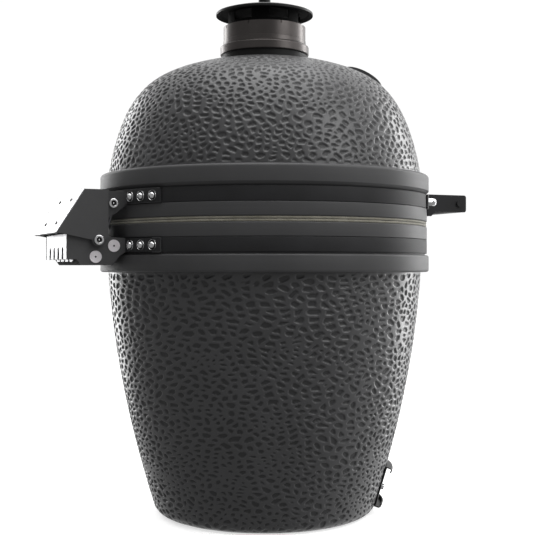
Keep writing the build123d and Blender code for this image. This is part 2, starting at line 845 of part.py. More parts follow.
with BuildPart() as tie_rod:
    with BuildSketch(Plane.YZ.offset(-arm_outer_x)):
        with Locations((tie_y, tie_z)):
            Circle(tie_radius)
    extrude(amount=2 * arm_outer_x)
    with BuildSketch(Plane.YZ.offset(arm_outer_x), Plane.YZ.offset(-arm_outer_x - tie_head_height)):
        with Locations((tie_y, tie_z)):
            Circle(tie_head_radius)
    extrude(amount=tie_head_height)
    outer_faces = tie_rod.faces().filter_by(Axis.X).group_by(Axis.X)
    fillet([outer_faces[0].edges(), outer_faces[-1].edges()], head_edge_radius)
    with BuildSketch(Plane.YZ.offset(-arm_outer_x - tie_head_height),
                     Plane.YZ.offset(arm_outer_x + tie_head_height)):
        with Locations((tie_y, tie_z)):
            RegularPolygon(tie_head_radius / 2, 6)
    extrude(amount=tie_head_height - socket_floor, both=True, mode=Mode.SUBTRACT)
tie_rod.part.label = "tie_rod"
export_step(tie_rod.part, "parts/tie_rod.step")

# ---------------------------------------------------------------------- hinge cover

cover_front_y = hinge_y - cover_front_reach
cover_top_y = hinge_y + cover_top_reach
cover_top_z = arm_top_z + cover_top_lift
cover_tail_y = hinge_y + cover_tail_reach
cover_tail_z = hinge_z + cover_tail_lift
slope = Vector(cover_tail_y - cover_top_y, cover_tail_z - cover_top_z)
slope_length = slope.length
slope_down = slope.normalized()
slope_out = Vector(-slope_down.Y, slope_down.X)


def on_slope(along, out):
    """(y, z) of a place down the cover's slanted rear face and out from it."""
    place = Vector(cover_top_y, cover_top_z) + slope_down * along + slope_out * out
    return (place.X, place.Y)


def slope_plane(across, along, out):
    """Plane on the cover's slanted rear face, facing out."""
    place_y, place_z = on_slope(along, out)
    return Plane(
        origin=(across, place_y, place_z),
        x_dir=(1, 0, 0),
        z_dir=(0, slope_out.X, slope_out.Y),
    )


# Where the roof's underside meets the inside of the slanted web
roof_corner = cover_thickness * (1 - slope_out.Y) / -slope_down.Y
badge_screw_places = [
    (side * badge_screw_offset, along)
    for side in (-1, 1)
    for along in (badge_screw_margin, slope_length - badge_screw_margin)
]

with BuildPart() as hinge_cover:
    # Both cheeks
    with BuildSketch(Plane.YZ.offset(cover_inner_x), Plane.YZ.offset(-cover_outer_x)):
        Polygon(
            (cover_front_y, cover_top_z),
            (cover_front_y, hinge_z + cover_lobe_radius / 2),
            (hinge_y - cover_lobe_radius, hinge_z),
            (hinge_y + cover_lobe_radius, hinge_z),
            (cover_tail_y - cover_tail_depth, cover_tail_z - cover_tail_rise),
            (cover_tail_y, cover_tail_z),
            (cover_top_y, cover_top_z),
            align=None,
        )
        with Locations((hinge_y, hinge_z)):
            Circle(cover_lobe_radius)
            Circle(hinge_pin_radius + side_gap, mode=Mode.SUBTRACT)
    extrude(amount=cover_thickness)
    # The roof and the slanted web that joins the cheeks
    with BuildSketch(Plane.YZ.offset(-cover_outer_x)):
        Polygon(
            (cover_front_y, cover_top_z),
            (cover_front_y, cover_top_z - cover_thickness),
            on_slope(roof_corner, -cover_thickness),
            on_slope(slope_length, -cover_thickness),
            on_slope(slope_length, 0),
            on_slope(0, 0),
            align=None,
        )
    extrude(amount=2 * cover_outer_x)
    for across, along in badge_screw_places:
        with BuildSketch(slope_plane(across, along, cutter_margin)):
            Circle(badge_screw_radius + fit_clearance)
        extrude(amount=-cover_thickness - 2 * cutter_margin, mode=Mode.SUBTRACT)
hinge_cover.part.label = "hinge_cover"
export_step(hinge_cover.part, "parts/hinge_cover.step")

with BuildPart() as badge_plate:
    with BuildSketch(slope_plane(0, slope_length / 2, 0)):
        RectangleRounded(2 * cover_outer_x, slope_length, badge_corner_radius)
        with Locations(*[(x, slope_length / 2 - along) for x, along in badge_screw_places]):
            Circle(badge_screw_radius + fit_clearance, mode=Mode.SUBTRACT)
    extrude(amount=badge_thickness)
badge_plate.part.label = "badge_plate"
export_step(badge_plate.part, "parts/badge_plate.step")

with BuildPart() as badge_screws:
    for across, along in badge_screw_places:
        with BuildSketch(slope_plane(across, along, -cover_thickness)):
            Circle(badge_screw_radius)
        extrude(amount=cover_thickness + badge_thickness)
        with BuildSketch(slope_plane(across, along, badge_thickness)):
            Circle(badge_screw_head_radius)
        extrude(amount=badge_screw_head_radius / 2)
badge_screws.part.label = "badge_screws"
export_step(badge_screws.part, "parts/badge_screws.step")

# ------------------------------------------------------------------ torsion springs


def leg_contact(centre_y, centre_z, reach, side):
    """Coil angle where a straight leg leaves the coil to pass beside a rod.

    The leg leaves along a common tangent of the coil circle and the rod's circle;
    side is +1 where the leg goes on anticlockwise from the coil and -1 where it comes in.
    """
    away = degrees(atan2(centre_z - hinge_z, centre_y - hinge_y))
    distance = hypot(centre_y - hinge_y, centre_z - hinge_z)
    turn = degrees(acos((spring_coil_radius - reach) / distance))
    leg_length = sqrt(distance**2 - (spring_coil_radius - reach) ** 2)
    return away - side * turn, leg_length + spring_leg_overhang


leg_gap = spring_wire_radius + side_gap
spring_outer_x = bracket_inner_x - spring_inset
spring_pitch = 2 * spring_wire_radius + spring_coil_gap
tie_angle, tie_leg = leg_contact(tie_y, tie_z, tie_radius + leg_gap, -1)
anchor_angle, anchor_leg = leg_contact(anchor_y, anchor_z, cross_rod_radius + leg_gap, 1)
coil_sweep = spring_turns * 360 - (tie_angle - anchor_angle) % 360

# The coil starts at its outer end, where the tie rod's leg comes in
coil_start = Plane(
    origin=(-spring_outer_x, hinge_y, hinge_z),
    x_dir=(0, cos(radians(tie_angle)), sin(radians(tie_angle))),
    z_dir=(1, 0, 0),
)
coil = coil_start * Helix(spring_pitch, spring_pitch * coil_sweep / 360, spring_coil_radius)

with BuildPart() as torsion_spring_right:
    with BuildLine() as spring_path:
        Line((coil @ 0) - (coil % 0) * tie_leg, coil @ 0)
        add(coil)
        Line(coil @ 1, (coil @ 1) + (coil % 1) * anchor_leg)
    spring_wire = spring_path.wires()[0]
    with BuildSketch(Plane(origin=spring_wire @ 0, z_dir=spring_wire % 0)):
        Circle(spring_wire_radius)
    sweep(path=spring_wire, is_frenet=True)
torsion_spring_right.part.label = "torsion_spring_right"
export_step(torsion_spring_right.part, "parts/torsion_spring_right.step")

with BuildPart() as torsion_spring_left:
    mirror(torsion_spring_right.part, about=Plane.YZ)
torsion_spring_left.part.label = "torsion_spring_left"
export_step(torsion_spring_left.part, "parts/torsion_spring_left.step")

# ------------------------------------------------------------------------- handle

arm_root_y = sqrt(strap_inner_radius**2 - (handle_arm_x - handle_arm_thickness) ** 2)
handle_front_y = lip_radius + handle_reach
handle_low_z = upper_band_low - handle_low_drop
handle_top_z = handle_low_z + handle_height
handle_middle_z = handle_low_z + handle_height / 2
handle_grip_y = handle_front_y - handle_grip_depth / 2

for side, side_name in ((-1, "left"), (1, "right")):
    arm_x = side * handle_arm_x
    foot_start = -90 + side * handle_root_angle - (side < 0) * handle_foot_sweep
    with BuildPart() as handle_arm:
        # The arm stands on the band and carries the grip; a toe steadies its foot
        with BuildSketch(Plane.YZ.offset(arm_x)) as arm_side:
            Polygon(
                (-arm_root_y, handle_top_z),
                (-arm_root_y, handle_low_z - handle_toe),
                (-arm_root_y - handle_toe, handle_low_z - handle_toe),
                (-arm_root_y - 2 * handle_toe, handle_low_z),
                (-handle_front_y, handle_low_z),
                (-handle_front_y, handle_top_z),
                align=None,
            )
            front_corners = arm_side.vertices().group_by(Axis.X)[0]
            fillet(front_corners, handle_corner_radius)
        extrude(amount=handle_arm_thickness / 2, both=True)
        with BuildSketch(radial_plane(foot_start)):
            with Locations((strap_inner_radius, upper_band_low)):
                Rectangle(strap_thickness, band_height, align=(Align.MIN, Align.MIN))
        revolve(axis=Axis.Z, revolution_arc=handle_foot_sweep)
        with BuildSketch(Plane.XY.offset(handle_low_z - 2 * handle_toe)):
            Circle(strap_inner_radius)
        extrude(amount=2 * handle_height, mode=Mode.SUBTRACT)
        with Locations(*handle_places):
            Cylinder(handle_bolt_radius + fit_clearance, hole_depth, align=FROM_INSIDE,
                     mode=Mode.SUBTRACT)
        with BuildSketch(Plane.YZ.offset(arm_x)):
            with Locations((-handle_grip_y, handle_middle_z)):
                Circle(grip_screw_radius + fit_clearance)
        extrude(amount=handle_arm_thickness, both=True, mode=Mode.SUBTRACT)
    handle_arm.part.label = f"handle_arm_{side_name}"
    export_step(handle_arm.part, f"parts/handle_arm_{side_name}.step")

grip_half_length = handle_arm_x - handle_arm_thickness / 2
with BuildPart() as handle_grip:
    with BuildSketch(Plane.YZ.offset(-grip_half_length)):
        with Locations((-handle_grip_y, handle_middle_z)):
            RectangleRounded(handle_grip_depth, handle_height, handle_grip_radius)
            Circle(grip_screw_radius + fit_clearance, mode=Mode.SUBTRACT)
    extrude(amount=2 * grip_half_length)
handle_grip.part.label = "handle_grip"
export_step(handle_grip.part, "parts/handle_grip.step")

grip_screw_reach = grip_half_length + handle_arm_thickness
with BuildPart() as grip_screws:
    with BuildSketch(Plane.YZ.offset(grip_screw_reach),
                     Plane.YZ.offset(-grip_screw_reach - grip_screw_head_height)):
        with Locations((-handle_grip_y, handle_middle_z)):
            Circle(grip_screw_head_radius)
    extrude(amount=grip_screw_head_height)
    with BuildSketch(Plane.YZ.offset(grip_screw_reach - grip_screw_length),
                     Plane.YZ.offset(-grip_screw_reach)):
        with Locations((-handle_grip_y, handle_middle_z)):
            Circle(grip_screw_radius)
    extrude(amount=grip_screw_length)
grip_screws.part.label = "grip_screws"
export_step(grip_screws.part, "parts/grip_screws.step")

# One handle bolt with a domed M8 nut
nut_seat = band_clearance + band_thickness + strap_thickness + fit_clearance
with BuildPart() as handle_bolt:
    with BuildSketch(Plane.XY.offset(band_clearance)):
        Circle(handle_bolt_radius)
    extrude(amount=nut_seat + handle_nut_height / 2)
    with BuildSketch(Plane.XY.offset(nut_seat)):
        RegularPolygon(handle_nut_radius, 6)
    extrude(amount=handle_nut_height / 2)
    with BuildSketch(Plane.XY.offset(nut_seat)):
        Circle(handle_nut_radius * cos(radians(30)))
    extrude(amount=handle_nut_height)
    fillet(handle_bolt.edges().group_by(Axis.Z)[-1], handle_nut_radius * 0.6)

with BuildPart() as handle_bolts:
    for place in handle_places:
        with Locations(place.location):
            add(handle_bolt.part)
handle_bolts.part.label = "handle_bolts"
export_step(handle_bolts.part, "parts/handle_bolts.step")

# ---------------------------------------------------------------------- draft door

frame_face = frame_wall_gap + frame_thickness
screen_face = frame_face + door_gap
door_face = screen_face + door_thickness + door_gap
rail_out = frame_wall_gap + rail_depth
rail_inner = frame_half_height - frame_thickness
slide_half_height = rail_inner - side_gap


def wall_arc_plane(start):
    """Half-plane where a curved plate on the barrel wall starts."""
    return radial_plane(-90 + start)


with BuildPart() as draft_frame:
    with BuildSketch(wall_arc_plane(-frame_half_angle)) as channel:
        Polygon(
            on_wall(-frame_half_height, frame_wall_gap),
            on_wall(frame_half_height, frame_wall_gap),
            on_wall(frame_half_height, rail_out),
            on_wall(frame_half_height - rail_lip, rail_out),
            on_wall(frame_half_height - rail_lip, rail_out - frame_thickness),
            on_wall(rail_inner, rail_out - frame_thickness),
            on_wall(rail_inner, frame_face),
            on_wall(-rail_inner, frame_face),
            on_wall(-rail_inner, rail_out - frame_thickness),
            on_wall(rail_lip - frame_half_height, rail_out - frame_thickness),
            on_wall(rail_lip - frame_half_height, rail_out),
            on_wall(-frame_half_height, rail_out),
            align=None,
        )
        rail_places = [Vector(*on_wall(end * frame_half_height, rail_out)) for end in (-1, 1)]
        fillet([channel.vertices().sort_by_distance(place)[0] for place in rail_places],
               rail_edge_radius)
    revolve(axis=Axis.Z, revolution_arc=2 * frame_half_angle)
    with BuildSketch(Plane.XZ.offset(foot_flat_radius / 2)):
        with Locations((0, draft_height)):
            RectangleRounded(draft_port_width, draft_port_height, draft_port_radius)
    extrude(amount=ring_radius, mode=Mode.SUBTRACT)
    for azimuth in frame_bolt_azimuths:
        with BuildSketch(wall_plane(azimuth, 0, frame_face + cutter_margin)):
            Circle(frame_bolt_radius + fit_clearance)
        extrude(amount=-frame_face - 2 * cutter_margin, mode=Mode.SUBTRACT)
draft_frame.part.label = "draft_frame"
export_step(draft_frame.part, "parts/draft_frame.step")

with BuildPart() as draft_frame_bolts:
    for azimuth in frame_bolt_azimuths:
        with BuildSketch(wall_plane(azimuth, 0, frame_face)):
            Circle(frame_bolt_radius)
        extrude(amount=-frame_bolt_depth)
        with BuildSketch(wall_plane(azimuth, 0, frame_face)):
            Circle(frame_bolt_head_radius)
        extrude(amount=frame_bolt_head_height)
draft_frame_bolts.part.label = "draft_frame_bolts"
export_step(draft_frame_bolts.part, "parts/draft_frame_bolts.step")

with BuildPart() as ember_screen:
    with BuildSketch(wall_arc_plane(-door_half_angle)):
        Polygon(
            on_wall(-slide_half_height, screen_face),
            on_wall(slide_half_height, screen_face),
            on_wall(slide_half_height, screen_face + door_thickness),
            on_wall(-slide_half_height, screen_face + door_thickness),
            align=None,
        )
    revolve(axis=Axis.Z, revolution_arc=2 * door_half_angle + screen_tab_angle)
    # The finger tab beyond the door's edge
    with BuildSketch(wall_arc_plane(door_half_angle + screen_tab_angle - screen_tab_edge_angle)):
        Polygon(
            on_wall(-slide_half_height / 2, screen_face),
            on_wall(slide_half_height / 2, screen_face),
            on_wall(slide_half_height / 2, screen_face + screen_tab_height),
            on_wall(-slide_half_height / 2, screen_face + screen_tab_height),
            align=None,
        )
    revolve(axis=Axis.Z, revolution_arc=screen_tab_edge_angle)
    slot_pitch = 2 * door_half_angle / (screen_slots + 1)
    for number in range(screen_slots):
        slot_azimuth = -90 + (number - (screen_slots - 1) / 2) * slot_pitch
        with BuildSketch(wall_plane(slot_azimuth, 0, door_face)):
            SlotOverall(screen_slot_length, screen_slot_width, rotation=90)
        extrude(amount=-frame_face, mode=Mode.SUBTRACT)
ember_screen.part.label = "ember_screen"
export_step(ember_screen.part, "parts/ember_screen.step")

with BuildPart() as draft_door:
    with BuildSketch(wall_arc_plane(-door_half_angle)):
        Polygon(
            on_wall(-slide_half_height, door_face),
            on_wall(slide_half_height, door_face),
            on_wall(slide_half_height, door_face + door_thickness),
            on_wall(-slide_half_height, door_face + door_thickness),
            align=None,
        )
    revolve(axis=Axis.Z, revolution_arc=2 * door_half_angle)
    with BuildSketch(wall_plane(-90, 0, door_face - cutter_margin)):
        Circle(knob_radius / 3 + fit_clearance)
    extrude(amount=door_thickness + 2 * cutter_margin, mode=Mode.SUBTRACT)
draft_door.part.label = "draft_door"
export_step(draft_door.part, "parts/draft_door.step")

knob_place = wall_plane(-90, 0, door_face + door_thickness)
with BuildPart() as draft_door_knob:
    with BuildSketch(knob_place.offset(knob_lift)):
        Circle(knob_radius / 3)
    extrude(amount=-door_thickness - knob_lift)
    with BuildSketch(knob_place.offset(knob_lift)):
        Circle(knob_radius * 0.6)
    extrude(amount=knob_height / 2)
    with BuildSketch(knob_place.offset(knob_height / 2)):
        Circle(knob_radius)
    knob_cap = extrude(amount=knob_height / 2)
    knob_front = knob_cap.faces().sort_by(Axis(knob_place.origin, knob_place.z_dir))[-1]
    fillet(knob_front.edges(), knob_edge_radius)
draft_door_knob.part.label = "draft_door_knob"
export_step(draft_door_knob.part, "parts/draft_door_knob.step")

# -------------------------------------------------------------- inside: fire and grids

firebox_top = floor_thickness + firebox_height
firebox_top_radius = chest_radius - base_wall - firebox_air_gap
firebox_foot_radius = foot_flat_radius - firebox_foot_inset
ash_radius = firebox_foot_radius - firebox_foot_width
grate_radius = ash_radius + grate_overlap
grate_seat = floor_thickness + grate_height - seat_clearance
ring_top = base_height - fire_ring_drop
fire_ring_top_radius = rim_inner_radius - fire_ring_air_gap
grid_radius = fire_ring_top_radius - grid_inset
grid_seat = ring_top + seat_clearance

with BuildPart() as firebox:
    with BuildSketch(Plane.XZ):
        Polygon(
            (ash_radius, floor_thickness),
            (firebox_foot_radius, floor_thickness),
            (firebox_top_radius, firebox_top - 3 * firebox_wall),
            (firebox_top_radius, firebox_top),
            (firebox_top_radius - firebox_wall, firebox_top),
            (firebox_top_radius - firebox_wall, firebox_top - 3 * firebox_wall),
            (grate_radius + 2 * seat_clearance, grate_seat + grate_thickness),
            (grate_radius + 2 * seat_clearance, grate_seat),
            (ash_radius, grate_seat),
            align=None,
        )
    revolve(axis=Axis.Z)
    with BuildSketch(Plane.XZ.offset(ash_radius / 2)):
        with Locations((0, floor_thickness)):
            Rectangle(draft_port_width, 2 * (draft_height + draft_port_height / 2 - floor_thickness))
    extrude(amount=ring_radius, mode=Mode.SUBTRACT)
    with Locations(Location((0, 0, grate_seat + 2.5 * grate_thickness))):
        with PolarLocations(0, firebox_holes):
            Cylinder(firebox_hole_radius, firebox_top_radius, rotation=(0, 90, 0),
                     align=FROM_INSIDE, mode=Mode.SUBTRACT)
firebox.part.label = "firebox"
export_step(firebox.part, "parts/firebox.step")

with BuildPart() as fire_ring:
    with BuildSketch(Plane.XZ):
        Polygon(
            (firebox_top_radius - firebox_wall, firebox_top),
            (firebox_top_radius, firebox_top),
            (fire_ring_top_radius, firebox_top + 3 * fire_ring_wall),
            (fire_ring_top_radius, ring_top),
            (fire_ring_top_radius - fire_ring_wall, ring_top),
            (fire_ring_top_radius - fire_ring_wall, firebox_top + 3 * fire_ring_wall),
            align=None,
        )
    revolve(axis=Axis.Z)
fire_ring.part.label = "fire_ring"
export_step(fire_ring.part, "parts/fire_ring.step")

with BuildPart() as charcoal_grate:
    with BuildSketch(Plane.XY.offset(grate_seat + seat_clearance)):
        Circle(grate_radius)
        with PolarLocations(grate_radius * 0.7, grate_slots):
            SlotOverall(grate_radius * 0.42, grate_slot_width, mode=Mode.SUBTRACT)
        with PolarLocations(grate_radius * 0.28, grate_slots // 2):
            SlotOverall(grate_radius * 0.24, grate_slot_width, mode=Mode.SUBTRACT)
    extrude(amount=grate_thickness)
charcoal_grate.part.label = "charcoal_grate"
export_step(charcoal_grate.part, "parts/charcoal_grate.step")

grid_wires = int(2 * grid_radius / grid_wire_pitch) - 1
grid_height = grid_seat + grid_rim_radius
with BuildPart() as cooking_grid:
    for number in range(grid_wires):
        wire_x = (number - (grid_wires - 1) / 2) * grid_wire_pitch
        wire_half = sqrt(grid_radius**2 - wire_x**2)
        with BuildSketch(Plane.XZ.offset(-wire_half)):
            with Locations((wire_x, grid_height)):
                Circle(grid_wire_radius)
        extrude(amount=2 * wire_half)
    for bar_y in (-grid_radius / 3, grid_radius / 3):
        bar_half = sqrt(grid_radius**2 - bar_y**2)
        with BuildSketch(Plane.YZ.offset(-bar_half)):
            with Locations((bar_y, grid_height - grid_rim_radius + grid_bar_radius)):
                Circle(grid_bar_radius)
        extrude(amount=2 * bar_half)
    with BuildSketch(Plane.XZ):
        with Locations((grid_radius, grid_height)):
            Circle(grid_rim_radius)
    revolve(axis=Axis.Z)
cooking_grid.part.label = "cooking_grid"
export_step(cooking_grid.part, "parts/cooking_grid.step")

# -------------------------------------------------------------------- chimney vent

collar_foot = dome_top + neck_seal_height
collar_top = collar_foot + collar_height
neck_seal_radius = dome_top_radius - neck_seal_inset
collar_flange_radius = neck_seal_radius + collar_flange_overhang
collar_radius = collar_flange_radius - collar_flange_lip
collar_bore = collar_radius - collar_wall
sleeve_radius = collar_bore - sleeve_clearance
cap_radius = sleeve_radius + cap_overhang
damper_top = collar_foot + damper_thickness
sleeve_foot = damper_top + side_gap
sleeve_top = sleeve_foot + sleeve_rise - damper_thickness
spigot_radius = chimney_radius - side_gap
damper_petal_outer = spigot_radius - sleeve_wall - damper_rim

with BuildPart() as vent_seal:
    with BuildSketch(Plane.XY.offset(dome_top)):
        Circle(neck_seal_radius)
        Circle(chimney_radius, mode=Mode.SUBTRACT)
    extrude(amount=neck_seal_height)
vent_seal.part.label = "vent_seal"
export_step(vent_seal.part, "parts/vent_seal.step")

# One opening of the damper: a sector of a ring
with BuildSketch() as petal:
    with BuildLine():
        petal_arcs = [
            CenterArc((0, 0), radius, -damper_petal_angle / 2, damper_petal_angle)
            for radius in (damper_petal_inner, damper_petal_outer)
        ]
        Line(petal_arcs[0] @ 0, petal_arcs[1] @ 0)
        Line(petal_arcs[0] @ 1, petal_arcs[1] @ 1)
    make_face()

with BuildPart() as vent_collar:
    with BuildSketch(Plane.XZ) as collar_section:
        Polygon(
            (spigot_radius - sleeve_wall, dome_top - collar_spigot_depth),
            (spigot_radius, dome_top - collar_spigot_depth),
            (spigot_radius, collar_foot),
            (collar_flange_radius, collar_foot),
            (collar_flange_radius, collar_foot + collar_flange_height),
            (collar_radius + collar_swell,
             collar_foot + collar_flange_height + collar_flange_slope),
            (collar_radius, collar_foot + collar_height / 2),
            (collar_radius - collar_seam_depth, collar_foot + collar_height / 2 + collar_seam_depth),
            (collar_radius - collar_seam_depth, collar_top),
            (collar_bore, collar_top),
            (collar_bore, damper_top),
            (spigot_radius - sleeve_wall, damper_top),
            align=None,
        )
        fillet(collar_section.vertices().group_by(Axis.X)[-1], collar_edge_radius)
    revolve(axis=Axis.Z)
    # The fixed half of the damper: a spoked floor with petal openings
    with BuildSketch(Plane.XY.offset(collar_foot)):
        Circle(spigot_radius - sleeve_wall)
        with PolarLocations(0, damper_petals):
            add(petal.sketch, mode=Mode.SUBTRACT)
    extrude(amount=damper_thickness)
    with Locations(Location((0, 0, collar_top))):
        with PolarLocations(collar_radius, collar_notches, start_angle=0):
            Box(2 * collar_notch_bite, collar_notch_width, 2 * collar_notch_depth,
                mode=Mode.SUBTRACT)
vent_collar.part.label = "vent_collar"
export_step(vent_collar.part, "parts/vent_collar.step")

with BuildPart() as vent_sleeve:
    with BuildSketch(Plane.XZ):
        Polygon(
            (0, sleeve_foot),
            (sleeve_radius, sleeve_foot),
            (sleeve_radius, sleeve_top),
            (sleeve_radius - sleeve_wall, sleeve_top),
            (sleeve_radius - sleeve_wall, sleeve_foot + damper_thickness),
            (0, sleeve_foot + damper_thickness),
            align=None,
        )
    revolve(axis=Axis.Z)
    # The turning half of the damper
    with BuildSketch(Plane.XY.offset(sleeve_foot)):
        with PolarLocations(0, damper_petals):
            add(petal.sketch)
    extrude(amount=damper_thickness, mode=Mode.SUBTRACT)
    # Windows under the cap let the smoke out
    window_width = 2 * sleeve_radius * sin(radians(sleeve_window_angle / 2))
    window_height = sleeve_top - sleeve_window_height / 2 - sleeve_window_margin
    with Locations(Location((0, 0, window_height))):
        with PolarLocations(sleeve_radius, sleeve_windows):
            Box(4 * sleeve_wall, window_width, sleeve_window_height, mode=Mode.SUBTRACT)
vent_sleeve.part.label = "vent_sleeve"
export_step(vent_sleeve.part, "parts/vent_sleeve.step")

with BuildPart() as rain_cap:
    with BuildSketch(Plane.XZ):
        with BuildLine():
            Line((cap_bolt_radius + fit_clearance, sleeve_top), (cap_radius - 2 * cap_skirt, sleeve_top))
            Line((cap_radius - 2 * cap_skirt, sleeve_top), (cap_radius - cap_edge, sleeve_top - cap_skirt))
            Line((cap_radius - cap_edge, sleeve_top - cap_skirt), (cap_radius, sleeve_top - cap_skirt))
            Line((cap_radius, sleeve_top - cap_skirt), (cap_radius, sleeve_top))
            TangentArc((cap_knob_radius, sleeve_top + cap_crown), (cap_radius, sleeve_top),
                       tangent=(1, 0))
            Line((cap_knob_radius, sleeve_top + cap_crown),
                 (cap_bolt_radius + fit_clearance, sleeve_top + cap_crown))
            Line((cap_bolt_radius + fit_clearance, sleeve_top + cap_crown),
                 (cap_bolt_radius + fit_clearance, sleeve_top))
        make_face()
    revolve(axis=Axis.Z)
rain_cap.part.label = "rain_cap"
export_step(rain_cap.part, "parts/rain_cap.step")

with BuildPart() as cap_knob:
    with BuildSketch(Plane.XZ) as cap_knob_section:
        knob_seat = sleeve_top + cap_crown
        Polygon(
            (0, sleeve_top),
            (cap_bolt_radius, sleeve_top),
            (cap_bolt_radius, knob_seat),
            (cap_knob_radius * 0.7, knob_seat),
            (cap_knob_radius, knob_seat + cap_knob_height * 0.45),
            (cap_knob_radius, knob_seat + cap_knob_height),
            (0, knob_seat + cap_knob_height),
            align=None,
        )
        fillet(cap_knob_section.vertices().group_by(Axis.X)[-1], cap_knob_height * 0.2)
    revolve(axis=Axis.Z)
cap_knob.part.label = "cap_knob"
export_step(cap_knob.part, "parts/cap_knob.step")

# --------------------------------------------------------------------- thermometer


def gauge_sketch_plane(rise):
    """Plane parallel to the gauge's seat, a height above the dome."""
    return gauge_plane.offset(rise)


gauge_bezel_radius = gauge_radius + gauge_bezel_lip
gauge_needle_length = gauge_radius - gauge_wall - gauge_needle_margin
gauge_nut_radius = gauge_stem_radius + gauge_nut_land
bezel_low = gauge_depth + gauge_lens_thickness - gauge_bezel_height + gauge_wall / 2
dial_face = gauge_dial_height + gauge_dial_thickness
needle_height = dial_face + gauge_needle_lift

with BuildPart() as gauge_case:
    with BuildSketch(gauge_sketch_plane(seat_clearance)):
        Circle(gauge_radius)
    extrude(amount=gauge_depth - seat_clearance)
    with BuildSketch(gauge_sketch_plane(gauge_dial_height)):
        Circle(gauge_radius - gauge_wall)
    extrude(amount=gauge_depth, mode=Mode.SUBTRACT)
    with BuildSketch(gauge_sketch_plane(gauge_dial_height)):
        Circle(gauge_stem_radius)
    extrude(amount=-gauge_dial_height - dome_wall - gauge_nut_height - gauge_stem_end)
    with BuildSketch(gauge_sketch_plane(-gauge_dial_height - dome_wall)):
        Circle(gauge_probe_radius)
    extrude(amount=-gauge_probe_length)
    with BuildSketch(gauge_sketch_plane(gauge_dial_height + cutter_margin)):
        Circle(gauge_spindle_radius + fit_clearance)
    extrude(amount=-gauge_dial_height, mode=Mode.SUBTRACT)
gauge_case.part.label = "gauge_case"
export_step(gauge_case.part, "parts/gauge_case.step")

with BuildPart() as gauge_dial:
    with BuildSketch(gauge_sketch_plane(gauge_dial_height)):
        Circle(gauge_radius - gauge_wall - side_gap)
        Circle(gauge_spindle_radius + 2 * fit_clearance, mode=Mode.SUBTRACT)
    extrude(amount=gauge_dial_thickness)
gauge_dial.part.label = "gauge_dial"
export_step(gauge_dial.part, "parts/gauge_dial.step")

with BuildPart() as gauge_needle:
    with BuildSketch(gauge_sketch_plane(needle_height)):
        Circle(gauge_spindle_radius * 3)
        with Locations((0, gauge_needle_length / 2)):
            Trapezoid(gauge_spindle_radius * 3, gauge_needle_length, 87)
    extrude(amount=gauge_needle_thickness)
    with BuildSketch(gauge_sketch_plane(needle_height)):
        Circle(gauge_spindle_radius)
    extrude(amount=-needle_height - seat_clearance + gauge_wall)
gauge_needle.part.label = "gauge_needle"
export_step(gauge_needle.part, "parts/gauge_needle.step")

with BuildPart() as gauge_lens:
    with BuildSketch(gauge_sketch_plane(gauge_depth)):
        Circle(gauge_radius - side_gap)
    extrude(amount=gauge_lens_thickness)
gauge_lens.part.label = "gauge_lens"
export_step(gauge_lens.part, "parts/gauge_lens.step")

with BuildPart() as gauge_bezel:
    with BuildSketch(gauge_sketch_plane(bezel_low)):
        Circle(gauge_bezel_radius)
        Circle(gauge_radius + fit_clearance, mode=Mode.SUBTRACT)
    extrude(amount=gauge_bezel_height)
    with BuildSketch(gauge_sketch_plane(gauge_depth + gauge_lens_thickness)):
        Circle(gauge_bezel_radius)
        Circle(gauge_radius - gauge_wall - gauge_wall / 2, mode=Mode.SUBTRACT)
    extrude(amount=gauge_wall / 2)
gauge_bezel.part.label = "gauge_bezel"
export_step(gauge_bezel.part, "parts/gauge_bezel.step")

with BuildPart() as gauge_nut:
    with BuildSketch(gauge_sketch_plane(-dome_wall - gauge_nut_seat)):
        RegularPolygon(gauge_nut_radius, 6)
        Circle(gauge_stem_radius + fit_clearance, mode=Mode.SUBTRACT)
    extrude(amount=-gauge_nut_height)
gauge_nut.part.label = "gauge_nut"
export_step(gauge_nut.part, "parts/gauge_nut.step")
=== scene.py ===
import math

import bmesh
import bpy
import numpy as np
from mathutils import Matrix, Vector, kdtree


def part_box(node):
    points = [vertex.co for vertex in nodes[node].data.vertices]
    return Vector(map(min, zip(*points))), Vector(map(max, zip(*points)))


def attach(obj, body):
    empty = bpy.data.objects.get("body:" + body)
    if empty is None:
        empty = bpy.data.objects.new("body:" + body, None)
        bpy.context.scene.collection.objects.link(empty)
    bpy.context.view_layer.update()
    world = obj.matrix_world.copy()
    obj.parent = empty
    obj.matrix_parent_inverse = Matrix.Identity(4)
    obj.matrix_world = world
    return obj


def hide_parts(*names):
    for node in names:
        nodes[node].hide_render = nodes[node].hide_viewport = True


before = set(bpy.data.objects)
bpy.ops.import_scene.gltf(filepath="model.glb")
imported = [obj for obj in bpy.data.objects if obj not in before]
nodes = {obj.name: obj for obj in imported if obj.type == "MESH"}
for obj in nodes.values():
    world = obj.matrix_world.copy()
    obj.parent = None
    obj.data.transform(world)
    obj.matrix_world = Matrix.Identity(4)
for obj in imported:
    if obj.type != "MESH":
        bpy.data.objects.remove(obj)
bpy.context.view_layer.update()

# Sizes are in millimetres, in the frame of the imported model, and meshes in metres.
MM = 0.001
TAU = 2 * math.pi


def node_box(name):
    """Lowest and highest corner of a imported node, in millimetres."""
    low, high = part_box(name)
    return low / MM, high / MM


# ---------- key sizes

# Heights of the joint between base and dome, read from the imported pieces
base_top = node_box("base_shell")[1].z
dome_bottom, dome_top = node_box("dome_shell")[0].z, node_box("dome_shell")[1].z
lower_band_low, lower_band_top = (corner.z for corner in node_box("lower_band"))
upper_band_low, upper_band_top = (corner.z for corner in node_box("upper_band"))

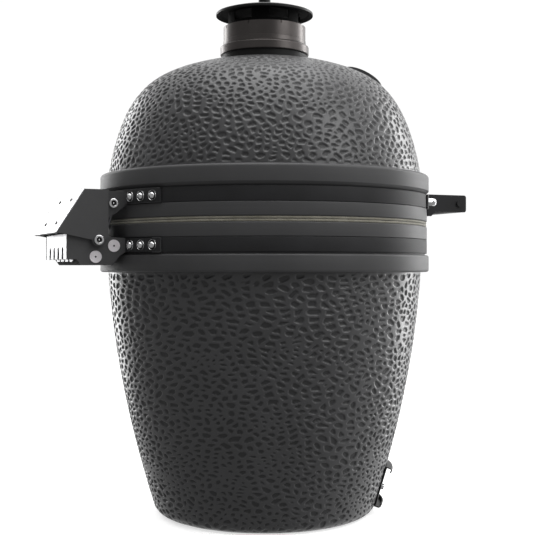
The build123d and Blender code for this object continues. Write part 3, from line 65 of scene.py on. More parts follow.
# Heights of the ceramic's steps, and the play between them and the bands
LIP_HEIGHT, LOWER_RING_HEIGHT, UPPER_RING_HEIGHT = 20.9, 27.0, 25.8
LOWER_BAND_PLAY, UPPER_BAND_PLAY, UPPER_GROOVE_SLOPE = 2.7, 0.6, 5.5
lower_ring_top = lower_band_low - LOWER_BAND_PLAY
lower_ring_low = lower_ring_top - LOWER_RING_HEIGHT
upper_groove_top = upper_band_top + UPPER_BAND_PLAY
upper_ring_low = upper_groove_top + UPPER_GROOVE_SLOPE
dome_start = upper_ring_low + UPPER_RING_HEIGHT

# Radii of the ceramic, from the rings to the foot
RING, LIP, GROOVE, RIM_INSIDE = 270.0, 267.0, 263.7, 236.0
BASE_NECK, DOME_NECK, CROWN, CHIMNEY = 256.8, 256.6, 72.0, 52.0
FOOT_FLAT, UNDERSIDE_STEP, FLOOR_FLAT, NEAR_AXIS = 160.0, 80.0, 150.0, 0.01
TUCK = 2.0              # how far the rings reach in under the skins

# Foot rounding, heights inside and walls
FOOT_EDGE = 24.0
FLOOR = 29.0
CHIMNEY_DEEP = 12.0
CEILING_RISE = 244.0    # from the dome's rim to its ceiling at the chimney
CEILING_RING = 16.0     # width of that flat ceiling
DOME_WALL = 22.0

# Radii of the bands and of the straps on them
BAND, BAND_WALL = 267.0, 3.0
STRAP_IN, STRAP_OUT = 267.05, 270.05
REAR = math.pi / 2      # angle of the hinge


# ---------- materials


def new_material(name, color, roughness, metallic=0.0, **sockets):
    """A principled material with constant values on its own sockets."""
    made = bpy.data.materials.new(name)
    made.use_nodes = True
    shader = made.node_tree.nodes["Principled BSDF"]
    shader.inputs["Base Color"].default_value = (*color, 1.0)
    shader.inputs["Roughness"].default_value = roughness
    shader.inputs["Metallic"].default_value = metallic
    for socket, value in sockets.items():
        shader.inputs[socket.replace("_", " ")].default_value = value
    return made, made.node_tree, shader


def add_node(tree, kind, **values):
    """A node with plain input values given by name."""
    made = tree.nodes.new(kind)
    for key, value in values.items():
        made.inputs[key.replace("_", " ")].default_value = value
    return made


def noise(tree, scale, detail=3.0, roughness=0.55, stretch=(1, 1, 1)):
    """A noise value between 0 and 1, over object coordinates stretched along each axis."""
    coordinates = tree.nodes.new("ShaderNodeTexCoord")
    mapping = add_node(tree, "ShaderNodeMapping", Scale=stretch)
    made = add_node(tree, "ShaderNodeTexNoise", Scale=scale, Detail=detail, Roughness=roughness)
    tree.links.new(coordinates.outputs["Object"], mapping.inputs["Vector"])
    tree.links.new(mapping.outputs["Vector"], made.inputs["Vector"])
    return made.outputs["Fac"]


def ramp(tree, value, stops):
    """A colour ramp between two stops, each (place, colour or grey)."""
    made = tree.nodes.new("ShaderNodeValToRGB")
    for element, (place, shade) in zip(made.color_ramp.elements, stops):
        element.position = place
        element.color = (*shade, 1.0) if isinstance(shade, tuple) else (shade, shade, shade, 1.0)
    tree.links.new(value, made.inputs["Fac"])
    return made.outputs["Color"]


def mix_color(tree, factor, first, second, blend="MIX"):
    """Two colours mixed: each input is a socket or a number."""
    made = tree.nodes.new("ShaderNodeMix")
    made.data_type = "RGBA"
    made.blend_type = blend
    for socket, value in (("Factor_Float", factor), ("A_Color", first), ("B_Color", second)):
        target = next(s for s in made.inputs if s.identifier == socket)
        if isinstance(value, bpy.types.NodeSocket):
            tree.links.new(value, target)
        else:
            target.default_value = value
    return next(s for s in made.outputs if s.identifier == "Result_Color")


def to_range(tree, value, low, high):
    """A value from 0 to 1 stretched to lie from low to high."""
    made = add_node(tree, "ShaderNodeMapRange", To_Min=low, To_Max=high)
    tree.links.new(value, made.inputs["Value"])
    return made.outputs["Result"]


def wear(tree, shader, color=None, roughness=None):
    """Links a colour and a roughness to a shader."""
    for socket, value in (("Base Color", color), ("Roughness", roughness)):
        if value is not None:
            tree.links.new(value, shader.inputs[socket])


def bump(tree, shader, height, strength, distance):
    """Fine relief on a shader; distance is in metres."""
    made = add_node(tree, "ShaderNodeBump", Strength=strength, Distance=distance)
    tree.links.new(height, made.inputs["Height"])
    tree.links.new(made.outputs["Normal"], shader.inputs["Normal"])


def glaze_material():
    """Dark grey glaze, darker in the pits (pooled glaze and painted shade) than on the net."""
    made, tree, shader = new_material("glaze", (0.05, 0.05, 0.05), 0.45, Coat_Weight=0.25,
                                      Coat_Roughness=0.28)
    pit = tree.nodes.new("ShaderNodeAttribute")
    pit.attribute_name = "pit"
    broad = noise(tree, 14.0)
    fine = noise(tree, 620.0)
    ridge = ramp(tree, broad, [(0.3, (0.056, 0.056, 0.058)), (0.7, (0.067, 0.067, 0.070))])
    # Pit colour, about half the net's: glaze pooled in the pits and painted shade of the pits
    pool_and_shade = ramp(tree, broad, [(0.3, (0.024, 0.024, 0.025)), (0.7, (0.031, 0.031, 0.033))])
    body = mix_color(tree, pit.outputs["Fac"], ridge, pool_and_shade)
    speckle = ramp(tree, fine, [(0.35, 0.86), (0.65, 1.0)])
    wear(tree, shader, mix_color(tree, 1.0, body, speckle, "MULTIPLY"),
         to_range(tree, pit.outputs["Fac"], 0.36, 0.56))
    bump(tree, shader, fine, strength=0.25, distance=0.0004)
    return made


def satin_glaze_material():
    """The smooth rings and lips: the same glaze with faint throwing lines."""
    made, tree, shader = new_material("satin_glaze", (0.056, 0.056, 0.058), 0.4,
                                      Specular_IOR_Level=0.4)
    lines = noise(tree, 1.0, stretch=(3, 3, 420))
    broad = noise(tree, 9.0)
    fine = noise(tree, 900.0, 2.0)
    color = ramp(tree, broad, [(0.3, (0.056, 0.056, 0.05768)), (0.7, (0.069, 0.069, 0.07107))])
    streaks = ramp(tree, lines, [(0.3, 0.93), (0.7, 1.0)])
    wear(tree, shader, mix_color(tree, 1.0, color, streaks, "MULTIPLY"),
         to_range(tree, lines, 0.46, 0.58))
    bump(tree, shader, fine, strength=0.12, distance=0.0003)
    return made


def coated_material(name, low, high, rough_low, rough_high, grain=1600.0, gloss=0.5):
    """A coated, painted or moulded surface: fine orange peel and slow colour drift."""
    made, tree, shader = new_material(name, high, rough_high, Specular_IOR_Level=gloss)
    broad = noise(tree, 22.0)
    peel = noise(tree, grain, 2.0)
    wear(tree, shader, ramp(tree, broad, [(0.3, low), (0.7, high)]),
         to_range(tree, peel, rough_low, rough_high))
    bump(tree, shader, peel, strength=0.25, distance=0.0002)
    return made


def brushed_material(name, color, rough_low, rough_high, stretch, metallic=1.0):
    """Brushed or polished metal with fine lines along one axis."""
    made, tree, shader = new_material(name, color, rough_high, metallic)
    lines = noise(tree, 1.0, 4.0, 0.65, stretch)
    broad = noise(tree, 30.0)
    dull = tuple(channel * 0.86 for channel in color)
    wear(tree, shader, ramp(tree, broad, [(0.35, dull), (0.65, color)]),
         to_range(tree, lines, rough_low, rough_high))
    bump(tree, shader, lines, strength=0.12, distance=0.0001)
    return made


def felt_material():
    """Pale felt of short fibres."""
    made, tree, shader = new_material("felt", (0.30, 0.28, 0.22), 0.9, Sheen_Weight=0.4,
                                      Sheen_Roughness=0.5)
    fibres = noise(tree, 700.0, 5.0, 0.7, (1, 1, 4))
    broad = noise(tree, 60.0)
    body = ramp(tree, broad, [(0.3, (0.26, 0.245, 0.19)), (0.7, (0.40, 0.38, 0.31))])
    strands = ramp(tree, fibres, [(0.3, 0.6), (0.7, 1.0)])
    wear(tree, shader, mix_color(tree, 1.0, body, strands, "MULTIPLY"))
    bump(tree, shader, fibres, strength=0.8, distance=0.0006)
    return made


def bare_ceramic_material():
    """Unglazed fire clay with a gritty surface."""
    made, tree, shader = new_material("fire_ceramic", (0.55, 0.47, 0.38), 0.85)
    grain = noise(tree, 260.0, 5.0)
    broad = noise(tree, 12.0)
    body = ramp(tree, broad, [(0.3, (0.46, 0.39, 0.31)), (0.7, (0.60, 0.53, 0.44))])
    grit = ramp(tree, grain, [(0.3, 0.82), (0.6, 1.0)])
    wear(tree, shader, mix_color(tree, 1.0, body, grit, "MULTIPLY"))
    bump(tree, shader, grain, strength=0.5, distance=0.0006)
    return made


def glass_material():
    """Clear glass with a faint smear."""
    made, tree, shader = new_material("gauge_glass", (1.0, 1.0, 1.0), 0.03,
                                      Transmission_Weight=1.0, IOR=1.45)
    wear(tree, shader, roughness=to_range(tree, noise(tree, 40.0), 0.0, 0.05))
    return made


GLAZE = glaze_material()
SATIN = satin_glaze_material()
BARE = bare_ceramic_material()
FELT = felt_material()
BLACK = coated_material("black_coat", (0.019, 0.019, 0.020), (0.025, 0.025, 0.027), 0.52, 0.66,
                        gloss=0.28)
CHARCOAL = coated_material("charcoal_coat", (0.058, 0.058, 0.060), (0.069, 0.069, 0.071),
                           0.46, 0.60)
# A darker copy of the charcoal coat: painted shade on the lid's hinge arms
SHADED_CHARCOAL = coated_material("charcoal_coat_shaded", (0.038, 0.038, 0.040), (0.046, 0.046, 0.048), 0.46, 0.60)
GRIP = coated_material("grip_black", (0.016, 0.016, 0.017), (0.023, 0.023, 0.024), 0.50, 0.62,
                       grain=900.0, gloss=0.3)
CAP = coated_material("cap_black", (0.004, 0.004, 0.004), (0.007, 0.007, 0.007), 0.38, 0.50,
                      grain=700.0, gloss=0.25)
# Near black for painted shade: the sleeve under the rain cap, the cap's underside and the
# bracket's web
SHADE_BLACK = coated_material("painted_shade_black", (0.003, 0.003, 0.003), (0.006, 0.006, 0.006), 0.75, 0.9,
                       grain=700.0, gloss=0.1)
COLLAR = brushed_material("collar_bronze", (0.105, 0.096, 0.093), 0.30, 0.40, (900, 900, 6))
SEAL = coated_material("seal_rubber", (0.004, 0.004, 0.004), (0.007, 0.007, 0.007), 0.45, 0.6,
                       grain=700.0, gloss=0.25)
BRIGHT = brushed_material("bright_steel", (0.46, 0.46, 0.47), 0.34, 0.46, (6, 900, 900))
CHROME = brushed_material("chrome", (0.90, 0.90, 0.91), 0.18, 0.28, (300, 300, 300))
HEAD = brushed_material("blasted_steel", (0.93, 0.89, 0.92), 0.42, 0.55, (1500, 1500, 1500),
                        metallic=0.30)
SCREW = brushed_material("dark_screws", (0.10, 0.10, 0.10), 0.35, 0.5, (300, 300, 300))
SPRING = brushed_material("spring_steel", (0.28, 0.28, 0.30), 0.25, 0.40, (200, 200, 200))
BRASS = brushed_material("bush_brass", (0.62, 0.50, 0.24), 0.30, 0.45, (400, 400, 400))
IRON = coated_material("grate_iron", (0.030, 0.029, 0.028), (0.048, 0.046, 0.044), 0.55, 0.8,
                       grain=400.0)
WIRE = brushed_material("grid_steel", (0.66, 0.66, 0.67), 0.14, 0.26, (300, 300, 300))
DIAL = coated_material("dial_white", (0.50, 0.50, 0.48), (0.56, 0.56, 0.54), 0.5, 0.6)
PRINT = coated_material("dial_print", (0.012, 0.012, 0.012), (0.018, 0.018, 0.018), 0.5, 0.6)
NEEDLE = coated_material("needle_red", (0.50, 0.03, 0.02), (0.60, 0.05, 0.03), 0.35, 0.45)
GLASS = glass_material()


# ---------- mesh helpers

SHARP_ANGLE, TURNED_SHARP_ANGLE = 32.0, 40.0    # an edge that turns by more stays sharp
BEVEL_ANGLE, BEVEL_STEPS = 30.0, 3
FLAT_ANGLE = 1.0        # faces that differ by less are one face
MERGE_TURNED, MERGE_PACKED = 1e-6, 2e-6


def add_object(name, data):
    """A new object in the scene."""
    made = bpy.data.objects.new(name, data)
    bpy.context.scene.collection.objects.link(made)
    return made


def finish_mesh(name, mesh, material, body, replaces=(), angle=SHARP_ANGLE, bevel=0.0):
    """Turns a mesh into a piece that rides a body, with a material."""
    mesh.polygons.foreach_set("use_smooth", np.ones(len(mesh.polygons), bool))
    if angle:
        mesh.set_sharp_from_angle(angle=math.radians(angle))
    piece = add_object(name, mesh)
    mesh.materials.append(material)
    if bevel:
        edge = piece.modifiers.new("edge", "BEVEL")
        edge.width = bevel * MM
        edge.segments = BEVEL_STEPS
        edge.limit_method = "ANGLE"
        edge.angle_limit = math.radians(BEVEL_ANGLE)
        edge.harden_normals = True
    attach(piece, body)
    if replaces:
        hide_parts(*replaces)
    return piece


def grid_mesh(name, points, close_u=False, close_v=False, drop=None):
    """A mesh from a (u, v, 3) array of points in millimetres: u runs round and v along."""
    count_u, count_v = points.shape[:2]
    order = np.arange(count_u * count_v).reshape(count_u, count_v)
    if close_u:
        order = np.vstack([order, order[:1]])
    if close_v:
        order = np.hstack([order, order[:, :1]])
    faces = np.stack([order[:-1, :-1], order[1:, :-1], order[1:, 1:], order[:-1, 1:]], axis=-1)
    faces = faces.reshape(-1, 4)
    flat = points.reshape(-1, 3)
    if drop is not None:
        faces = faces[~drop(flat[faces].mean(axis=1))]
    mesh = bpy.data.meshes.new(name)
    mesh.vertices.add(len(flat))
    mesh.vertices.foreach_set("co", (flat * MM).astype(np.float32).ravel())
    mesh.loops.add(faces.size)
    mesh.loops.foreach_set("vertex_index", faces.astype(np.int32).ravel())
    mesh.polygons.add(len(faces))
    mesh.polygons.foreach_set("loop_start", np.arange(0, faces.size, 4, dtype=np.int32))
    mesh.update(calc_edges=True)
    mesh.validate()
    return mesh


def rounded(points, steps=4):
    """A polyline with its corners rounded: points are (x, y) or (x, y, radius)."""
    made = []
    count = len(points)
    for index, point in enumerate(points):
        here = Vector(point[:2])
        radius = point[2] if len(point) > 2 else 0.0
        if radius <= 0 or index in (0, count - 1):
            made.append(tuple(here))
            continue
        back = Vector(points[index - 1][:2]) - here
        ahead = Vector(points[index + 1][:2]) - here
        turn = back.angle(ahead)
        reach = min(radius / math.tan(turn / 2), back.length * 0.49, ahead.length * 0.49)
        real = reach * math.tan(turn / 2)
        bisector = (back.normalized() + ahead.normalized()).normalized()
        centre = here + bisector * real / math.sin(turn / 2)
        first = here + back.normalized() * reach - centre
        last = here + ahead.normalized() * reach - centre
        sweep = first.angle_signed(last)
        for step in range(steps + 1):
            spoke = first.copy()
            spoke.rotate(Matrix.Rotation(-sweep * step / steps, 2))
            made.append(tuple(centre + spoke))
    return made


def ring_profile(points, steps):
    """A closed profile with rounded corners."""
    extended = [points[-1], *points, points[0]]
    made = []
    for index in range(1, len(extended) - 1):
        made += rounded(extended[index - 1:index + 2], steps)[1:-1]
    return made


def is_full(sweep):
    """True for a whole turn, which closes on itself."""
    return abs(sweep - TAU) < 1e-9


def lathe_points(profile, count, start=0.0, sweep=TAU):
    """Points of a (radius, height) profile turned about Z; angles in radians."""
    angles = start + sweep * np.arange(count) / (count if is_full(sweep) else count - 1)
    shape = np.array(profile, float)
    points = np.zeros((count, len(shape), 3))
    points[..., 0] = np.cos(angles)[:, None] * shape[None, :, 0]
    points[..., 1] = np.sin(angles)[:, None] * shape[None, :, 0]
    points[..., 2] = shape[None, :, 1]
    return points


def lathe(name, profile, material, body, count, closed=True, start=0.0, sweep=TAU,
          replaces=(), drop=None):
    """A turned piece. A part turn of a closed profile gets flat ends."""
    points = lathe_points(profile, count, start, sweep)
    mesh = grid_mesh(name, points, close_u=is_full(sweep), close_v=closed, drop=drop)
    shell = bmesh.new()
    shell.from_mesh(mesh)
    if closed and not is_full(sweep):
        across = len(profile)
        shell.verts.ensure_lookup_table()
        for base in (0, (count - 1) * across):
            shell.faces.new([shell.verts[base + index] for index in range(across)])
    bmesh.ops.remove_doubles(shell, verts=shell.verts, dist=MERGE_TURNED)
    bmesh.ops.recalc_face_normals(shell, faces=shell.faces)
    shell.to_mesh(mesh)
    shell.free()
    finish_mesh(name, mesh, material, body, replaces)


def outward_mesh(name, shell):
    """A mesh from a bmesh, with its faces turned outwards."""
    bmesh.ops.recalc_face_normals(shell, faces=shell.faces)
    mesh = bpy.data.meshes.new(name)
    shell.to_mesh(mesh)
    shell.free()
    return mesh


def prisms(name, parts, material, body):
    """One piece from extruded outlines: each part is (outline, low, high, placement)."""
    shell = bmesh.new()
    for outline, low, high, placement in parts:
        bottom = [shell.verts.new(placement @ Vector((x, y, low)) * MM) for x, y in outline]
        top = [shell.verts.new(placement @ Vector((x, y, high)) * MM) for x, y in outline]
        shell.faces.new(bottom[::-1])
        shell.faces.new(top)
        for index in range(len(outline)):
            after = (index + 1) % len(outline)
            shell.faces.new([bottom[index], bottom[after], top[after], top[index]])
    finish_mesh(name, outward_mesh(name, shell), material, body, angle=0)


def axes_matrix(origin, x_axis, z_axis):
    """A placement in millimetres from an origin and two axes."""
    z_dir = Vector(z_axis).normalized()
    x_dir = Vector(x_axis).normalized()
    y_dir = z_dir.cross(x_dir)
    made = Matrix((x_dir, y_dir, z_dir)).transposed().to_4x4()
    made.translation = Vector(origin)
    return made


def dress(name, material):
    """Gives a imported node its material."""
    node = nodes[name]
    node.data.materials.clear()
    node.data.materials.append(material)


def soften(name, material, body, edge=0.5):
    """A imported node's shape with its sharp edges rounded, in place of the node."""
    shell = bmesh.new()
    shell.from_mesh(nodes[name].data)
    bmesh.ops.remove_doubles(shell, verts=shell.verts, dist=MERGE_PACKED)
    bmesh.ops.dissolve_limit(shell, angle_limit=math.radians(FLAT_ANGLE), verts=shell.verts,
                             edges=shell.edges)
    mesh = bpy.data.meshes.new(name + "_soft")
    shell.to_mesh(mesh)
    shell.free()
    return finish_mesh(name + "_soft", mesh, material, body, (name,), bevel=edge)


def islands(mesh):
    """A mesh's separate solids, as lists of corners in millimetres."""
    shell = bmesh.new()
    shell.from_mesh(mesh)
    bmesh.ops.remove_doubles(shell, verts=shell.verts, dist=MERGE_PACKED)
    left, found = set(shell.verts), []
    while left:
        start = next(vert for vert in shell.verts if vert in left)
        left.discard(start)
        group, queue = [], [start]
        while queue:
            vert = queue.pop()
            group.append(np.array(vert.co) / MM)
            for edge in vert.link_edges:
                other = edge.other_vert(vert)
                if other in left:
                    left.discard(other)
                    queue.append(other)
        found.append(np.array(group))
    shell.free()
    return found


def turned(name, parts, material, body, replaces=(), count=48):
    """One piece from shapes turned about Z: each part is (profile, placement)."""
    shell = bmesh.new()
    turns = [(math.cos(TAU * step / count), math.sin(TAU * step / count)) for step in range(count)]
    for profile, placement in parts:
        rings = [[shell.verts.new(placement @ Vector((radius * x, radius * y, height)) * MM)
                  for x, y in (turns if radius else [(0, 0)])] for radius, height in profile]
        for first, second in zip(rings, rings[1:]):
            for step in range(count):
                after = (step + 1) % count
                corners = [first[step % len(first)], first[after % len(first)],
                           second[after % len(second)], second[step % len(second)]]
                unique = list(dict.fromkeys(corners))
                if len(unique) > 2:
                    shell.faces.new(unique)
    finish_mesh(name, outward_mesh(name, shell), material, body, replaces,
                angle=TURNED_SHARP_ANGLE)


# ---------- ceramic forms


SPLINE_POINTS = 4000


def clamped_spline(knots, start_slope, end_slope, count):
    """Points at even steps along a smooth curve through knots, with its end directions."""
    knots = np.array(knots, float)
    chords = np.hypot(*np.diff(knots, axis=0).T)
    places = np.concatenate([[0], np.cumsum(chords)])
    size = len(knots)
    system = np.zeros((size, size))
    right = np.zeros((size, 2))
    system[0, 0] = system[-1, -1] = 1
    right[0] = np.array(start_slope) / np.hypot(*start_slope)
    right[-1] = np.array(end_slope) / np.hypot(*end_slope)
    for index in range(1, size - 1):
        before, after = chords[index - 1], chords[index]
        system[index, index - 1] = after
        system[index, index] = 2 * (before + after)
        system[index, index + 1] = before
        rise = (knots[index] - knots[index - 1]) / before * after
        run = (knots[index + 1] - knots[index]) / after * before
        right[index] = 3 * (rise + run)
    slopes = np.linalg.solve(system, right)
    dense = np.linspace(0, places[-1], SPLINE_POINTS)
    span = np.clip(np.searchsorted(places, dense) - 1, 0, size - 2)
    width = chords[span]
    share = (dense - places[span]) / width
    share, width = share[:, None], width[:, None]
    curve = ((2 * share**3 - 3 * share**2 + 1) * knots[span]
             + (share**3 - 2 * share**2 + share) * width * slopes[span]
             + (-2 * share**3 + 3 * share**2) * knots[span + 1]
             + (share**3 - share**2) * width * slopes[span + 1])
    length = np.concatenate([[0], np.cumsum(np.hypot(*np.diff(curve, axis=0).T))])
    even = np.linspace(0, length[-1], count)
    return np.stack([np.interp(even, length, curve[:, axis]) for axis in (0, 1)], 1)


def outer_normals(curve):
    """Unit normals of a profile, to its right as it runs."""
    slope = np.gradient(curve, axis=0)
    normals = np.stack([slope[:, 1], -slope[:, 0]], 1)
    return normals / np.hypot(*normals.T)[:, None]


# Profiles of barrel and dome, as (radius, height), and their directions at both ends
LEAN = math.radians(17.5)
foot_end = (FOOT_FLAT + FOOT_EDGE * math.cos(LEAN), FOOT_EDGE - FOOT_EDGE * math.sin(LEAN))
barrel_knots = [foot_end, (208.0, 102.8), (240.5, 252.5), (BASE_NECK, lower_ring_low)]
barrel_ends = ((math.sin(LEAN), math.cos(LEAN)), (0.06, 1.0))
dome_knots = [(DOME_NECK, dome_start), (244.5, dome_start + 56.0), (224.5, dome_start + 107.0),
              (190.2, dome_start + 149.3), (142.0, dome_start + 174.1), (CROWN, dome_top)]
dome_ends = ((-0.12, 1.0), (-1.0, 0.16))


SPREAD_ROUNDS, SPREAD_STEP = 4, 3.0


def cell_seeds(curve, circle, cell, draw):
    """Seeds spread evenly over the unrolled skin, by moving each to the middle of its cell.

    The skin is taken as (distance round, distance along); cell is (length, width).
    """
    step = np.hypot(*np.diff(curve, axis=0).T).mean()
    height = step * (len(curve) - 1)
    count = int(circle * height / (cell[0] * cell[1]))
    seeds = np.stack([draw.uniform(0, circle, count), draw.uniform(0, height, count)], 1)
    round_points = np.arange(0, circle, SPREAD_STEP)
    along_points = np.arange(0, height, SPREAD_STEP)
    places = np.stack(np.meshgrid(round_points, along_points, indexing="ij"), -1).reshape(-1, 2)
    stretch = np.array([cell[1] / cell[0], 1.0])
    for _ in range(SPREAD_ROUNDS):
        doubled = np.vstack([seeds + (shift * circle, 0) for shift in (-1, 0, 1)])
        tree = kdtree.KDTree(len(doubled))
        for index, place in enumerate(doubled * stretch):
            tree.insert((*place, 0.0), index % count)
        tree.balance()
        nearest = np.array([tree.find((*place, 0.0))[1] for place in places * stretch])
        tally = np.maximum(np.bincount(nearest, minlength=count), 1)
        angle = places[:, 0] * TAU / circle
        mean_sin = np.bincount(nearest, np.sin(angle), count) / tally
        mean_cos = np.bincount(nearest, np.cos(angle), count) / tally
        seeds = np.stack([np.arctan2(mean_sin, mean_cos) % TAU * circle / TAU,
                          np.bincount(nearest, places[:, 1], count) / tally], 1)
    return seeds


GIRTH_PERCENTILE = 60           # of the profile's radii, taken as the unrolled skin's
PIT_LENGTHS, PIT_SIZES = (0.80, 1.22), (0.90, 1.12)
PIT_SQUARENESS = 2.6            # 2 is an ellipse
WALL_AT_NET, WALL_AT_REACH = 1.3, 0.9
PIT_REACH, BOWL_REACH = 0.50, 0.6
FLOOR_SHARE, BOWL_SHARE = 0.82, 0.18
WAVE_HEIGHT, STAND_OUT = 0.22, 0.25
SEAM_ROWS = 3.0                 # rows over which a skin comes down to its profile
WAVES, MOST_RISE = 14, 14


def pitted_grid(curve, columns, seed, cell, tilt, ridge, depth, fade):
    """Places and pit depths for a turned skin covered with close, rounded, oblong pits.

    Each pit is a cell between seeds, each with its own lean and length; ridge is the width
    of the net between them, and fade is 0 to 1 along the profile.
    """
    rows = len(curve)
    step = np.hypot(*np.diff(curve, axis=0).T).mean()
    angle_step = TAU / columns
    draw = np.random.default_rng(seed)
    circle = TAU * np.percentile(curve[:, 0], GIRTH_PERCENTILE)
    seeds = cell_seeds(curve, circle, cell, draw)
    nearest = np.full((columns, rows), 1e3)
    second = np.full((columns, rows), 1e3)
    stretch = cell[0] / cell[1]
    for distance_round, distance_along in seeds:
        row = int(distance_along / step)
        radius = curve[min(row, rows - 1), 0]
        turned_by = distance_round / circle * columns
        column = int(turned_by)
        lean = draw.normal(0, tilt)
        long_side = stretch * draw.uniform(*PIT_LENGTHS)
        size = draw.uniform(*PIT_SIZES)
        side = int(cell[0] * 1.7 / (radius * angle_step)) + 1
        tall = int(cell[0] * 1.2 / step) + 1
        low, high = max(row - tall, 0), min(row + tall + 1, rows)
        offsets = np.arange(-side, side + 1)
        picked = (column + offsets) % columns
        across = (offsets[:, None] - turned_by + column) * angle_step * radius
        along = (np.arange(low, high) * step - distance_along)[None, :]
        local_x = (across * math.cos(lean) + along * math.sin(lean)) / long_side
        local_y = along * math.cos(lean) - across * math.sin(lean)
        powers = np.abs(local_x)**PIT_SQUARENESS + np.abs(local_y)**PIT_SQUARENESS
        away = np.power(powers, 1 / PIT_SQUARENESS) / size
        window = np.ix_(picked, np.arange(low, high))
        first = nearest[window]
        second[window] = np.minimum(second[window], np.maximum(first, away))
        nearest[window] = np.minimum(first, away)
    inside = np.minimum((second - nearest - ridge) / WALL_AT_NET,
                        (cell[1] * PIT_REACH - nearest) / WALL_AT_REACH)
    soft = np.clip(inside, 0, 1)
    floor = soft * soft * (3 - 2 * soft) * fade[None, :]
    bowl = np.clip(1 - nearest / (cell[1] * BOWL_REACH), 0, 1)
    sunk = floor * (FLOOR_SHARE + BOWL_SHARE * bowl)
    normals = outer_normals(curve)
    waves = slow_waves(columns, rows, seed + 1)
    lift = waves * WAVE_HEIGHT - sunk * depth + STAND_OUT
    from_seam = np.minimum(np.arange(rows), np.arange(rows)[::-1])
    lift *= np.minimum(1, from_seam / SEAM_ROWS)[None, :]
    angles = np.arange(columns) * angle_step
    radius = curve[None, :, 0] + lift * normals[None, :, 0]
    points = np.stack([np.cos(angles)[:, None] * radius, np.sin(angles)[:, None] * radius,
                       curve[None, :, 1] + lift * normals[None, :, 1]], axis=-1)
    return points, floor


def slow_waves(columns, rows, seed):
    """A gentle unevenness of the hand-made surface, between -1 and 1."""
    draw = np.random.default_rng(seed)
    angle = np.arange(columns)[:, None] * TAU / columns
    height = np.arange(rows)[None, :] / rows
    total = np.zeros((columns, rows))
    for _ in range(WAVES):
        turns = draw.integers(3, 26)
        rise = draw.uniform(-MOST_RISE, MOST_RISE)
        total += np.sin(turns * angle + rise * height * TAU + draw.uniform(0, TAU))
    return total / np.abs(total).max()


def skin(name, curve, columns, sectors, body, replaced, drop=None, **pits):
    """A pitted ceramic skin with its pit depth kept for the glaze.

    It is cut into sectors, so that each mesh stays light, with the whole skin's normals.
    """
    points, floor = pitted_grid(curve, columns, **pits)
    rows = len(curve)
    round_step = np.roll(points, -1, 0) - np.roll(points, 1, 0)
    normals = np.cross(round_step, np.gradient(points, axis=1))
    normals /= np.linalg.norm(normals, axis=-1, keepdims=True)
    width = columns // sectors
    for sector in range(sectors):
        columns_here = np.arange(sector * width, (sector + 1) * width + 1) % columns
        part = f"{name}_{sector + 1}"
        mesh = grid_mesh(part, points[columns_here], drop=drop)
        sunk = mesh.attributes.new("pit", "FLOAT", "POINT")
        sunk.data.foreach_set("value", floor[columns_here].reshape(-1).astype(np.float32))
        corners = np.empty(len(mesh.loops), np.int32)
        mesh.loops.foreach_get("vertex_index", corners)
        places = mesh.uv_layers.new(name="OFBake")
        spread = np.stack(np.meshgrid(np.linspace(0.01, 0.99, width + 1),
                                      np.linspace(0.01, 0.99, rows), indexing="ij"), -1)
        places.data.foreach_set("uv", spread.reshape(-1, 2)[corners].astype(np.float32).ravel())
        finish_mesh(part, mesh, GLAZE, body,
                    replaced if sector == 0 else (), angle=0)
        mesh.normals_split_custom_set_from_vertices(normals[columns_here].reshape(-1, 3))


SKIN_STEP = 1.5
COLUMNS = 1080
BARREL_LENGTH, DOME_LENGTH = 430, 285       # along the profiles
FOOT_ROWS = 20
barrel_curve = clamped_spline(barrel_knots, *barrel_ends, int(BARREL_LENGTH / SKIN_STEP))
foot_turn = np.linspace(-math.pi / 2, -LEAN, FOOT_ROWS)[:-1]
foot_curve = np.stack([FOOT_FLAT + FOOT_EDGE * np.cos(foot_turn),
                       FOOT_EDGE + FOOT_EDGE * np.sin(foot_turn)], 1)
barrel_skin_curve = np.vstack([foot_curve, barrel_curve])
dome_curve = clamped_spline(dome_knots, *dome_ends, int(DOME_LENGTH / SKIN_STEP))

PORT_HALF = 39.0
PORT_LOW, PORT_HIGH = 30.0, 66.0
PORT_MIDDLE = (PORT_LOW + PORT_HIGH) / 2
PORT_CORNER = 1.5
PORT_RINGS = ((0.3, 3.0), (0.5, 0.0), (28.0, 0.0))      # depth, and how far it spreads


def in_port(centres, margin=0.0):
    """True for faces inside the draft port."""
    return ((np.abs(centres[:, 0]) < PORT_HALF + margin) & (centres[:, 1] < 0)
            & (centres[:, 2] > PORT_LOW - margin) & (centres[:, 2] < PORT_HIGH + margin))


# The pits fade out at the foot, beside the rings and, though not wholly, at the crown
FOOT_BARE, FOOT_FADE, RING_FADE = 2.5, 10.0, 5.0
CROWN_REACH, CROWN_FADE, CROWN_LEAST = 1.5, 30.0, 0.12
foot_fade = np.clip((barrel_skin_curve[:, 1] - FOOT_BARE) / FOOT_FADE, 0, 1)
ring_fade = np.clip((lower_ring_low - barrel_skin_curve[:, 1]) / RING_FADE, 0, 1)
skin("barrel_glaze", barrel_skin_curve, COLUMNS, 4, "base", ("base_shell",),
     drop=lambda centres: in_port(centres, 1.0), seed=11, cell=(18.6, 9.4), tilt=0.40,
     ridge=2.9, depth=1.8, fade=foot_fade * ring_fade)
neck_fade = np.clip((dome_curve[:, 1] - dome_start) / RING_FADE, 0, 1)
crown_fade = np.clip((dome_top + CROWN_REACH - dome_curve[:, 1]) / CROWN_FADE, CROWN_LEAST, 1)
skin("dome_glaze", dome_curve, COLUMNS, 3, "lid", ("dome_shell",), seed=23, cell=(14.8, 8.8),
     tilt=0.55, ridge=2.6, depth=1.6, fade=neck_fade * crown_fade)

